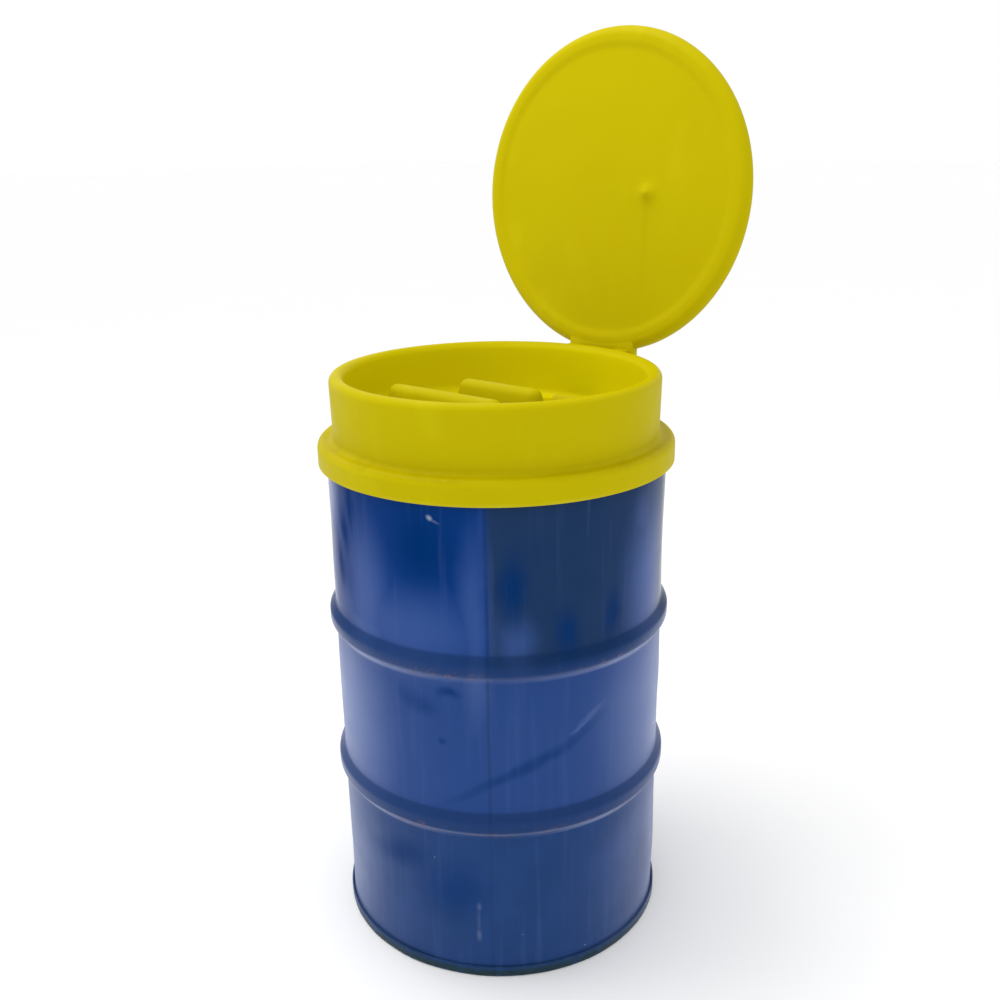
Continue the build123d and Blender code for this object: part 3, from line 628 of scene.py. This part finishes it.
def yellow_poly():
    """Rotationally moulded polyethylene with a fine grain and scuffed edges, with painted light inside the
    bowl, painted shade on its floor, ribs and ledge groove, and a painted shadow under the open lid's vent.
    """
    poly = Finish("yellow_poly", Specular_IOR_Level=0.03)
    tone = poly.mix(poly.noise(7.0, 4, 0.6), srgb(183, 168, 0), srgb(189, 176, 0))
    # The inside of the bowl is painted paler: painted light, lifting the shade of its walls.
    out = poly.math("SQRT", poly.math("ADD", poly.product(poly.x, poly.x), poly.product(poly.y, poly.y)))
    inside = poly.product(poly.band(out, BOWL_R + 7 * MM, BOWL_R - 1 * MM),
                          poly.band(poly.z, RIM_TOP + 3 * MM, RIM_TOP - 12 * MM))
    tone = poly.mix(inside, tone, poly.mix(poly.noise(5.0, 4), srgb(207, 193, 0), srgb(213, 202, 0)))
    # Its floor and ribs are painted darker: painted shade on the faces turned up to the light.
    floor_and_rib_shade = poly.product(poly.band(out, BOWL_R - 20 * MM, BOWL_R - 34 * MM), inside)
    tone = poly.mix(floor_and_rib_shade, tone, poly.mix(poly.noise(5.0, 4), srgb(178, 164, 0), srgb(186, 174, 0)))
    pale = poly.band(poly.noise(11.0, 5, 0.6, poly.stretched((1.0, 1.0, 0.5), (20, 0, 30))), 0.52, 0.72)
    tone = poly.mix(poly.math("MULTIPLY", pale, 0.18), tone, srgb(204, 194, 20))
    # Blotchy darker band along the groove where the wall meets the ledge: painted shade in the crease.
    groove = poly.near(poly.z, LEDGE_TOP + 1 * MM, 3 * MM, 8 * MM)
    groove_shade = poly.product(poly.band(poly.noise(13.0, 5, 0.65), 0.35, 0.75, 0.25, 1.0), groove)
    tone = poly.mix(poly.math("MULTIPLY", groove_shade, 0.40), tone, srgb(146, 128, 0))
    worn = poly.product(poly.band(poly.z, SKIRT_BOTTOM + 7 * MM, SKIRT_BOTTOM + 1 * MM),
                        poly.band(poly.noise(22.0, 5), 0.30, 0.70))
    tone = poly.mix(poly.math("MULTIPLY", worn, 0.30), tone, srgb(204, 196, 60))
    # Painted shadow cast down the open lid from its vent nub.
    lean = tan(LID_OPEN - pi / 2)
    between = HINGE_POINT.y - HINGE_POINT.z * lean + LID_SEAT - HINGE_POINT.z + LID_CROWN / 2
    behind = poly.math("SUBTRACT", poly.y, poly.math("MULTIPLY", poly.z, lean))
    run = poly.product(poly.near(poly.x, VENT_X, 1 * MM, 11 * MM), poly.band(poly.z, *NUB_SHADOW_TOP),
                       poly.band(poly.z, *NUB_SHADOW_FOOT), poly.band(behind, between + 4 * MM, between - 4 * MM))
    tone = poly.mix(poly.math("MULTIPLY", run, 0.13), tone, srgb(150, 140, 0))
    poly.colour(tone)
    poly.roughness(poly.band(poly.noise(20.0, 4), 0.25, 0.75, 0.38, 0.54))
    poly.bump(poly.noise(900.0, 2), 0.03 * MM)
    poly.bump(poly.noise(38.0, 3), 0.20 * MM)
    return poly.material


def plain_plastic(name, dark, light, rough):
    """Moulded nylon or rubber: a fine mottle and grain."""
    part = Finish(name, Specular_IOR_Level=0.45)
    part.colour(part.mix(part.noise(60.0, 4), dark, light))
    part.roughness(part.band(part.noise(90.0, 3), 0.3, 0.7, rough - 0.08, rough + 0.08))
    part.bump(part.noise(700.0, 2), 0.03 * MM)
    return part.material


def metal(name, dark, light, rough):
    """Plated or stainless metal with faint drawn marks and dull patches."""
    part = Finish(name, Metallic=1.0)
    marks = part.noise(240.0, 4, 0.6, part.stretched((1.0, 1.0, 0.12)))
    part.colour(part.mix(marks, dark, light))
    part.roughness(part.band(part.noise(55.0, 4), 0.3, 0.75, rough - 0.08, rough + 0.14))
    part.bump(marks, 0.04 * MM)
    return part.material


BLUE = blue_paint()
YELLOW = yellow_poly()
NYLON = plain_plastic("black_nylon", srgb(22, 22, 23), srgb(36, 36, 37), 0.48)
RUBBER = plain_plastic("black_rubber", srgb(20, 20, 20), srgb(32, 31, 30), 0.72)
COMPOUND = plain_plastic("seam_compound", srgb(60, 54, 44), srgb(84, 76, 62), 0.66)
ZINC = metal("zinc_steel", srgb(150, 152, 150), srgb(196, 198, 200), 0.34)
STAINLESS = metal("stainless", srgb(160, 162, 164), srgb(206, 208, 210), 0.26)


# ======== drum
def round_angles(turns, extra=()):
    """Evenly spaced angles round the axis, with extra ones where a shape needs them."""
    even = np.linspace(-pi, pi, turns, endpoint=False)
    spaced = [a for a in even if all(abs(a - e) > 0.3 * 2 * pi / turns for e in extra)]
    return np.sort(np.array(spaced + list(extra)))


def wrapped(angle):
    """Angle brought to within half a turn of zero."""
    return (angle + pi) % (2 * pi) - pi


# Dents in the drum's wall: (degrees round, height, half width, half height, depth).
DENTS = [
    (-78, 0.70, 0.055, 0.10, 1.6 * MM), (-30, 0.73, 0.050, 0.09, 1.4 * MM), (-62, 0.43, 0.10, 0.05, 1.3 * MM),
    (-12, 0.47, 0.07, 0.06, 1.5 * MM), (-95, 0.16, 0.06, 0.05, 1.2 * MM), (100, 0.44, 0.09, 0.08, 3.0 * MM),
    (170, 0.15, 0.08, 0.06, 2.2 * MM), (40, 0.72, 0.08, 0.09, 2.0 * MM),
]
DRUM_TURNS = 300
PANEL_SWELL = 1.1 * MM
SKIN_RIPPLE = 0.16 * MM
CHIME_KNOCKS = 0.35 * MM


def drum_unevenness(points):
    """Points of the drum's skin moved in and out: oil-canned panels, a few dents and the weld."""
    radius = np.hypot(points[:, 0], points[:, 1])
    angle = np.arctan2(points[:, 1], points[:, 0])
    height = points[:, 2]
    # The wall gives only between its hoops and seams.
    starts = (SEAM_HEIGHT, *(hoop + HOOP_BASE for hoop in HOOP_HEIGHTS))
    stops = (*(hoop - HOOP_BASE for hoop in HOOP_HEIGHTS), DRUM_TOP - SEAM_HEIGHT)
    panel = np.zeros(len(points))
    for low, high in zip(starts, stops):
        inside = np.clip((height - low) / (high - low), 0, 1)
        panel += np.sin(pi * inside) ** 1.2
    shift = PANEL_SWELL * Waves(11, 9, 1.5, 4.0)(points) * panel
    shift += SKIN_RIPPLE * Waves(5, 10, 8, 18)(points)
    for at, dent_height, wide, tall, depth in DENTS:
        across = wrapped(angle - radians(at)) * SHELL_R / wide
        along = (height - dent_height) / tall
        shift -= depth * np.exp(-across ** 2 - along ** 2) * panel
    from_weld = np.abs(wrapped(angle - WELD_ANGLE)) * SHELL_R
    on_wall = np.abs(radius - SHELL_R) < 4 * MM
    shift -= WELD_DEPTH * np.clip(1 - from_weld / WELD_HALF, 0, 1) ** 0.5 * on_wall
    scale = (radius + shift) / radius
    moved = points.copy()
    moved[:, 0] *= scale
    moved[:, 1] *= scale
    return moved


def make_shell():
    """Body sheet with its two rolling hoops, hooked outwards at each end inside the seams."""
    hook_r = SHELL_R + 2 * SEAM_PITCH
    hook_edge = SHEET + SEAM_PITCH / 2 + HOOK_GAP
    points = [(hook_r, HOOK_END), (hook_r, hook_edge), (SHELL_R, hook_edge)]
    radii = [FOLD_BEND] * 2
    for z in HOOP_HEIGHTS:
        points += [(SHELL_R, z - HOOP_BASE), (HOOP_R, z - HOOP_CREST), (HOOP_R, z + HOOP_CREST),
                   (SHELL_R, z + HOOP_BASE)]
        radii += [HOOP_BEND] * 4
    points += [(SHELL_R, DRUM_TOP - hook_edge), (hook_r, DRUM_TOP - hook_edge), (hook_r, DRUM_TOP - HOOK_END)]
    radii += [FOLD_BEND] * 2
    line = divided(rounded(points, radii), 14 * MM)
    weld = [WELD_ANGLE + side * WELD_HALF / SHELL_R for side in (-1.6, -1, -0.5, 0, 0.5, 1, 1.6)]
    vertices, faces = turned(sheet_section(line, SHEET), round_angles(DRUM_TURNS, weld))
    shell = make_mesh("drum_body", drum_unevenness(vertices), faces)
    finish_piece(shell, BLUE, "drum", "blue_paint", "drum_shell")


def make_bottom_head():
    """Pressed bottom head, curled round the body's hook: its curl is the chime the drum stands on."""
    chuck_r = SHELL_R - SEAM_PITCH
    outer_r = SHELL_R + 3 * SEAM_PITCH
    cover_r = SHELL_R + SEAM_PITCH
    line = rounded(
        [(0, HEAD_DEPTH), (chuck_r, HEAD_DEPTH), (chuck_r, SHEET / 2), (outer_r, SHEET / 2),
         (outer_r, SEAM_HEIGHT), (cover_r, SEAM_HEIGHT), (cover_r, COVER_END)],
        [HEAD_BEND, CHIME_BEND, CHIME_BEND, FOLD_BEND, FOLD_BEND],
    )
    section = sheet_section(divided(line, 25 * MM), SHEET)
    vertices, faces = turned(section, round_angles(DRUM_TURNS))
    head = make_mesh("bottom_head", vertices, faces)
    points = np.array([v.co for v in head.data.vertices])
    radius = np.hypot(points[:, 0], points[:, 1])
    at_chime = np.clip((radius - 270 * MM) / (20 * MM), 0, 1)
    knocks = Waves(31, 8, 6, 14)(points) * CHIME_KNOCKS * at_chime
    scale_round(head, 1 + knocks / np.maximum(radius, 1 * MM))
    finish_piece(head, BLUE, "drum", "blue_paint", "drum_bottom_head")


# ======== funnel
def floor_at(y):
    """Height of the bowl's sloping floor."""
    return FLOOR_LOW + (SPOUT_Y - y) * FLOOR_SLOPE


RIBS = [
    (-RIB_OFFSET, -RIB_END, RIB_NOTCH[0]),
    (-RIB_OFFSET, RIB_NOTCH[1], RIB_END),
    (RIB_OFFSET, RIB_SHORT_END, RIB_NOTCH[0]),
    (RIB_OFFSET, RIB_NOTCH[1], RIB_END),
]


def rib_loop(rib, inset, count=96):
    """Points round one rib's outline, moved inwards by inset, the same number whatever the inset."""
    y, start, end = rib
    half_x, half_y = (end - start) / 2, RIB_WIDTH / 2
    corner = RIB_CORNER
    middle = Vector(((start + end) / 2, y))
    # Walk the outline of the rounded rectangle by its own length, then step along the normal.
    straight_x, straight_y = 2 * (half_x - corner), 2 * (half_y - corner)
    quarter = corner * pi / 2
    total = 2 * (straight_x + straight_y) + 4 * quarter
    loop = []
    for k in range(count):
        s = total * k / count
        for length, normal, along in (
            (straight_x, (0, -1), (1, 0)), (straight_y, (1, 0), (0, 1)),
            (straight_x, (0, 1), (-1, 0)), (straight_y, (-1, 0), (0, -1)),
        ):
            if s <= length:
                base = Vector((normal[0] * half_x, normal[1] * half_y))
                point = base + Vector(along) * (s - length / 2)
                outwards = Vector(normal)
                break
            s -= length
            if s <= quarter:
                turn = s / corner
                outwards = Vector(normal) * cos(turn) + Vector(along) * sin(turn)
                centre = Vector((
                    (normal[0] + along[0]) * (half_x - corner), (normal[1] + along[1]) * (half_y - corner),
                ))
                point = centre + outwards * corner
                break
            s -= quarter
        loop.append(middle + point - outwards * inset)
    return loop


def rib_levels():
    """(inset, height above the floor, height absolute) steps from a rib's foot to its flat top."""
    levels = []
    foot_reach = RIB_FOOT + FLOOR_GAP
    for k in range(5):
        a = pi / 2 * k / 4
        levels.append((-foot_reach + RIB_FOOT * sin(a), RIB_FOOT * (1 - cos(a)), None))
    side_top = RIB_TOP - RIB_ROUND
    levels.append((-1 * MM, None, RIB_WAIST))
    for k in range(6):
        a = pi / 2 * k / 5
        levels.append((1 * MM + RIB_ROUND * (1 - cos(a)), None, side_top + RIB_ROUND * sin(a)))
    levels.append((RIB_CORNER - 0.5 * MM, None, RIB_TOP))
    return levels


def make_bowl_sheet():
    """One skin: floor with its drain ribs and sump, inner wall, rolled rim, outer wall, ledge and skirt."""
    vertices, faces = [], []

    def add_loop(points):
        first = len(vertices)
        vertices.extend(points)
        return list(range(first, first + len(points)))

    def bridge(a, b):
        n = len(a)
        faces.extend((a[k], a[(k + 1) % n], b[(k + 1) % n], b[k]) for k in range(n))

    # Ribs: rings from the foot up to the top, then a cap.
    holes = []
    for rib in RIBS:
        loops = []
        for inset, above, height in rib_levels():
            ring = rib_loop(rib, inset)
            loops.append(add_loop([
                (p.x, p.y, height if height is not None else floor_at(p.y) + above) for p in ring
            ]))
        for low, high in zip(loops, loops[1:]):
            bridge(low, high)
        faces.append(tuple(loops[-1]))
        holes.append(loops[0])

    # Sump: a shallow step down round the spout, with the spout's hole in it.
    turns = SUMP_TURNS
    sump = []
    # (radius, height), with a height of None for the floor's own, and a negative one for below it.
    steps_down = ((SUMP_R + FLOOR_GAP, None), (SUMP_R + 0.6 * MM, -0.6 * MM), (SUMP_R, -2 * MM),
                  (SUMP_R, SUMP_TOP + 0.6 * MM), (SUMP_R - 0.6 * MM, SUMP_TOP), (SUMP_HOLE_R, SUMP_TOP))
    for radius, height in steps_down:
        ring = []
        for k in range(turns):
            x, y = radius * cos(2 * pi * k / turns), SPOUT_Y + radius * sin(2 * pi * k / turns)
            if height is None:
                z = floor_at(y)
            elif height < 0:
                z = max(floor_at(y) + height, SUMP_TOP + 0.8 * MM)
            else:
                z = height
            ring.append((x, y, z))
        sump.append(add_loop(ring))
    for outer, inner in zip(sump, sump[1:]):
        bridge(outer, inner)
    holes.append(sump[0])

    # Wall: from the floor's fillet up, over the rolled rim, down the outside, over the ledge and
    # down the skirt.
    angles = round_angles(FUNNEL_TURNS)
    foot_r = BOWL_R - FLOOR_FILLET
    fillet = [(foot_r + FLOOR_FILLET * sin(a), FLOOR_FILLET * (1 - cos(a)))
              for a in np.linspace(0, pi / 2, 7)]
    wall = []
    for r, up in fillet:
        wall.append(add_loop([(r * cos(t), r * sin(t), floor_at(r * sin(t)) + up) for t in angles]))
    outside = [(BOWL_R, RIM_MID_Z - k * WALL_STEP) for k in (4, 3, 2, 1)]
    outside += [(RIM_MID_R - RIM_ROLL * cos(a), RIM_MID_Z + RIM_ROLL * sin(a))
                for a in np.linspace(0, pi, 15)]
    outside += list(divided(rounded(
        [(RIM_MID_R + RIM_ROLL, RIM_MID_Z), (WALL_R, LEDGE_TOP), (SKIRT_R, LEDGE_TOP),
         (SKIRT_R, SKIRT_BOTTOM + SKIRT_LIP), (SKIRT_R, SKIRT_BOTTOM)],
        [*LEDGE_BENDS, 0],
    ), WALL_STEP))[1:]
    for r, z in outside:
        wall.append(add_loop([(r * cos(t), r * sin(t), z) for t in angles]))
    for low, high in zip(wall, wall[1:]):
        bridge(low, high)

    # Floor: the flat between those loops, triangulated with points spread through it.
    constraint_loops = [wall[0], *holes]
    flat = [v for loop in constraint_loops for v in loop]
    number = {v: i for i, v in enumerate(flat)}
    edges = []
    for loop in constraint_loops:
        edges += [(number[a], number[b]) for a, b in zip(loop, loop[1:] + loop[:1])]
    places = [Vector(vertices[v][:2]) for v in flat]
    pitch = 11 * MM
    steps = int(foot_r / pitch)
    clear = 5 * MM
    for i in range(-steps, steps + 1):
        for j in range(-steps, steps + 1):
            p = Vector(((i + 0.5 * (j % 2)) * pitch, j * pitch * 0.87))
            if on_floor(p, clear):
                places.append(p)
    made, _, triangles, origins, _, _ = delaunay_2d_cdt(places, edges, [], 0, 1e-7)
    new_number = {}
    for i, sources in enumerate(origins):
        source = sources[0] if sources else -1
        if 0 <= source < len(flat):
            new_number[i] = flat[source]
        else:
            new_number[i] = len(vertices)
            vertices.append((made[i].x, made[i].y, floor_at(made[i].y)))
    for triangle in triangles:
        centre = sum((made[i] for i in triangle), Vector((0, 0))) / 3
        if on_floor(centre, 0):
            faces.append(tuple(new_number[i] for i in triangle))
    return vertices, faces


def rib_distance(p, rib):
    """Distance from a point outwards to a rib's outline, negative inside."""
    y, start, end = rib
    dx = abs(p.x - (start + end) / 2) - (end - start) / 2 + RIB_CORNER
    dy = abs(p.y - y) - RIB_WIDTH / 2 + RIB_CORNER
    return Vector((max(dx, 0), max(dy, 0))).length + min(max(dx, dy), 0) - RIB_CORNER


def on_floor(p, clear):
    """True where a point is on the floor's flat, at least clear inside its edges."""
    if p.length > BOWL_R - FLOOR_FILLET - clear:
        return False
    if (p - Vector((0, SPOUT_Y))).length < SUMP_R + FLOOR_GAP + clear:
        return False
    return all(rib_distance(p, rib) > RIB_FOOT + FLOOR_GAP + clear for rib in RIBS)


def extruded(name, outline, start, end, bevel):
    """Solid from a closed (y, z) outline between two x, its end edges rounded."""
    block = make_mesh(name, *prism(outline, start, end))
    rounding = block.modifiers.new("round", "BEVEL")
    rounding.width = bevel
    rounding.segments = 3
    rounding.limit_method = "ANGLE"
    rounding.angle_limit = radians(50)
    apply_modifiers(block)
    return block


def closed_outline(points, radii):
    """Closed outline with each corner rounded to its radius."""
    looped = [points[-1], *points, points[0]]
    return rounded(looped, radii)[1:-1]


def bore(block, radius, start, end, steps=40):
    """Cut a round hole along X, on the hinge's line, through a block."""
    turns = [2 * pi * k / steps for k in range(steps)]
    ring = [(HINGE_POINT.y + radius * cos(a), HINGE_POINT.z + radius * sin(a)) for a in turns]
    drill = make_mesh("drill", *prism(ring, start, end))
    cut = block.modifiers.new("bore", "BOOLEAN")
    cut.operation = "DIFFERENCE"
    cut.solver = "EXACT"
    cut.object = drill
    apply_modifiers(block)
    discard(drill)


def make_boss():
    """Middle knuckle of the hinge, with the shelf that stops the open lid, standing off the funnel's wall."""
    top = HINGE_POINT.z + KNUCKLE_R
    under = HINGE_POINT.z - KNUCKLE_R
    outline = closed_outline(
        [(BOSS_INNER, BOSS_FOOT), BOSS_HEEL, (STOP_Y, BOSS_NOSE),
         (STOP_Y, under - 2 * MM), (HINGE_POINT.y + KNUCKLE_R - 0.5 * MM, under + 1 * MM),
         (HINGE_POINT.y + KNUCKLE_R, top), (BOSS_INNER, top)],
        [0, BOSS_BEND, BOSS_BEND, 3 * MM, 2 * MM, KNUCKLE_BEND, 0],
    )
    boss = extruded("boss", outline, -BOSS_HALF, BOSS_HALF, 2 * MM)
    bore(boss, PIN_R, -2 * BOSS_HALF, 2 * BOSS_HALF)
    return boss


FUNNEL_TURNS = 288
FUNNEL_WARP = 0.7 * MM
FUNNEL_RIPPLE = 0.15 * MM
SKIRT_ROOM = 0.6 * MM


def make_funnel():
    """The funnel's skin thickened to its wall, its edge rounded, with the hinge boss."""
    vertices, faces = make_bowl_sheet()
    funnel = make_mesh("funnel", vertices, faces)
    warp = Waves(21, 8, 1.2, 3.0)
    ripple = Waves(22, 10, 7, 14)
    points = np.array([v.co for v in funnel.data.vertices])
    radius = np.hypot(points[:, 0], points[:, 1])
    outer = np.clip((radius - BOWL_R) / (SKIRT_R - BOWL_R), 0, 1)
    # The skirt is stiffer than the wall, and is drawn in to leave room for its waves.
    waves = (FUNNEL_WARP * warp(points) + FUNNEL_RIPPLE * ripple(points)) * (0.3 + 0.7 * (outer < 0.6))
    in_out = waves - SKIRT_ROOM * (outer > 0.9)
    scale_round(funnel, 1 + np.where(radius > BOWL_R - 1 * MM, in_out, 0) / np.maximum(radius, 1 * MM))
    thick = funnel.modifiers.new("skin", "SOLIDIFY")
    thick.thickness = SKIN
    thick.offset = -1
    thick.use_even_offset = True
    edge = funnel.modifiers.new("edge", "BEVEL")
    edge.width = 2 * MM
    edge.segments = 3
    edge.limit_method = "ANGLE"
    edge.angle_limit = radians(70)
    apply_modifiers(funnel)
    join(funnel, make_boss())
    finish_piece(funnel, YELLOW, "funnel", "yellow_poly", "funnel_body")


# ======== lid
def lid_opened(piece):
    """Swing a mesh built in the lid's closed place to where the open lid stands."""
    to_hinge = Matrix.Translation(HINGE_POINT)
    piece.data.transform(to_hinge @ Matrix.Rotation(-LID_OPEN, 4, "X") @ to_hinge.inverted())


LID_TURNS = 260
LID_RIPPLE = 0.22 * MM
LID_SAG = 0.7 * MM


def make_lid():
    """Hollow disc with a dished underside and rounded edges, its neck and two hinge ears."""
    edge_top = LID_SEAT + LID_EDGE
    crown = LID_SEAT + LID_CROWN
    dish = LID_SEAT + LID_DISH
    section = rounded(
        [(0, dish), (LID_DISH_R, dish), (LID_RING_R, LID_SEAT), (LID_R, LID_SEAT), (LID_R, edge_top),
         (LID_R - LID_SHOULDER, edge_top), (0, crown)],
        LID_BENDS, 6,
    )
    section = divided(section, 6 * MM)
    vertices, faces = turned(section, round_angles(LID_TURNS), closed=False)
    ripple = Waves(41, 8, 5, 11)(vertices)
    sag = Waves(42, 6, 0.8, 2.0)(vertices)
    # The ring that rests on the rim stays flat.
    above = np.abs(vertices[:, 2] - LID_SEAT)
    reach = np.hypot(vertices[:, 0], vertices[:, 1])
    free = np.clip(above / (10 * MM) + (LID_FLAT_R - reach) / (20 * MM), 0.05, 1)
    vertices[:, 2] += (LID_RIPPLE * ripple + LID_SAG * sag) * free
    # The underside swells round the vent.
    from_vent = np.hypot(vertices[:, 0] - VENT_X, vertices[:, 1])
    underside = vertices[:, 2] < LID_SEAT + 8 * MM
    vertices[:, 2] -= MOUND_RISE * np.exp(-(from_vent / MOUND_R) ** 2) * underside
    vertices[:, 1] += LID_DROP * (np.clip(vertices[:, 1], 0, LID_R) / LID_R) ** 2
    lid = make_mesh("lid_moulding", vertices, faces)
    # Neck: a flat tab from the disc's edge to the hinge.
    tab = closed_outline(
        [(-EAR_OUT, NECK_START), (NECK_RIGHT, NECK_START), (NECK_RIGHT, NECK_END), (-EAR_OUT, NECK_END)],
        [0, 0, NECK_CORNER, NECK_CORNER],
    )
    neck = extruded("neck", [(y, x) for x, y in tab], NECK_BOTTOM, NECK_TOP, NECK_BEVEL)
    # It was extruded along X: change X and Z over.
    neck.data.transform(Matrix(((0, 0, 1, 0), (0, 1, 0, 0), (1, 0, 0, 0), (0, 0, 0, 1))))
    ears = []
    near_y, far_y = HINGE_POINT.y - KNUCKLE_R, HINGE_POINT.y + KNUCKLE_R
    under = HINGE_POINT.z - KNUCKLE_R
    ear_outline = closed_outline(
        [(near_y, EAR_TOP), (near_y, under), (far_y, under), (far_y, EAR_TOP)],
        [0, KNUCKLE_BEND, KNUCKLE_BEND, 0],
    )
    for inner in (-EAR_OUT, EAR_IN):
        ear = extruded("ear", ear_outline, inner, inner + EAR_OUT - EAR_IN, 1.5 * MM)
        bore(ear, PIN_R, -2 * EAR_OUT, 2 * EAR_OUT)
        ears.append(ear)
    bore(ears[0], RECESS_R, -2 * EAR_OUT, -RECESS_FLOOR)
    bore(ears[1], RECESS_R, RECESS_FLOOR, 2 * EAR_OUT)
    join(lid, neck, *ears)
    work = bmesh.new()
    work.from_mesh(lid.data)
    bmesh.ops.recalc_face_normals(work, faces=work.faces)
    work.to_mesh(lid.data)
    work.free()
    lid_opened(lid)
    finish_piece(lid, YELLOW, "lid", "yellow_poly", "lid")


def make_vent_nub():
    """Push-in plug of the moulding's vent hole: a small domed cap on the lid's inner face."""
    section = rounded(
        [(0, -NUB_DROP), (NUB_R, -NUB_DROP), (NUB_R, 0.4 * MM), (NUB_LIP_R, 0.9 * MM), (STEM_R, 1.2 * MM),
         (STEM_R, 7 * MM), (0, 8 * MM)],
        [NUB_DOME, 0.6 * MM, 0, 0, 0.6 * MM], 12,
    )
    section[:, 1] += LID_SEAT + LID_DISH
    vertices, faces = turned(section, np.linspace(0, 2 * pi, 48, endpoint=False), closed=False)
    vertices[:, 0] += VENT_X
    nub = make_mesh("vent_nub", vertices, faces)
    lid_opened(nub)
    finish_piece(nub, YELLOW, "lid", "yellow_poly", "lid_vent_plug")


make_shell()
make_bottom_head()
make_funnel()
make_lid()
make_vent_nub()

CAD_FINISHES = {
    "drum_top_head": BLUE, "vent_plug": ZINC, "spout_bung_flange": BLUE, "vent_bung_flange": BLUE,
    "bottom_seam_seal": COMPOUND, "top_seam_seal": COMPOUND,
    "spout_bung_gasket": RUBBER, "vent_bung_gasket": RUBBER, "vent_plug_gasket": RUBBER,
    "spout_gasket": RUBBER, "spout_fitting": NYLON, "spout_locknut": NYLON,
    "strainer_basket": STAINLESS, "strainer_handle": STAINLESS,
    "hinge_bolt": ZINC, "hinge_nut": ZINC, "hinge_washers": ZINC,
}
for node, finish in CAD_FINISHES.items():
    for material_slot in frame["nodes"][node].material_slots:
        material_slot.link = "OBJECT"
        material_slot.material = finish


# ======== stage and light
FLOOR_HALF = 60.0
KEY_LEFT = 0.9                      # of the view, as seen from the camera
KEY_BACK = 0.2
KEY_HEIGHT = 3.3
KEY_AIM = (0, 0, 0.8)
KEY_SIZE = (1.3, 1.3)
KEY_POWER = 32


def make_floor():
    """Wide pale floor."""
    corners = [(x * FLOOR_HALF, y * FLOOR_HALF, 0) for x, y in ((-1, -1), (1, -1), (1, 1), (-1, 1))]
    floor = make_mesh("floor", corners, [(0, 1, 2, 3)])
    surface = Finish("floor", Specular_IOR_Level=0.1)
    surface.colour(surface.mix(surface.noise(2.0, 2), srgb(254, 254, 254), srgb(255, 255, 255)))
    surface.roughness(0.7)
    floor.data.materials.append(surface.material)


def make_world():
    """Soft white surroundings."""
    world = bpy.data.worlds.new("studio")
    world.use_nodes = True
    sky = world.node_tree.nodes["Background"]
    sky.inputs["Color"].default_value = (1.0, 1.0, 1.0, 1.0)
    sky.inputs["Strength"].default_value = 1.0
    SCENE.world = world


def make_softbox(name, place, aim, size, power):
    """Rectangular area light that faces a point."""
    light = bpy.data.lights.new(name, "AREA")
    light.shape = "RECTANGLE"
    light.size, light.size_y = size
    light.energy = power
    lamp = bpy.data.objects.new(name, light)
    lamp.location = place
    lamp.rotation_euler = (Vector(aim) - Vector(place)).to_track_quat("-Z", "Y").to_euler()
    SCENE.collection.objects.link(lamp)


make_floor()
make_world()
view_right = Vector((cos(CAMERA_AROUND), sin(CAMERA_AROUND), 0))
view_back = Vector((-sin(CAMERA_AROUND), cos(CAMERA_AROUND), 0))
key_place = -KEY_LEFT * view_right + KEY_BACK * view_back + Vector((0, 0, KEY_HEIGHT))
make_softbox("key", key_place, KEY_AIM, KEY_SIZE, KEY_POWER)
SCENE.view_settings.view_transform = "Standard"
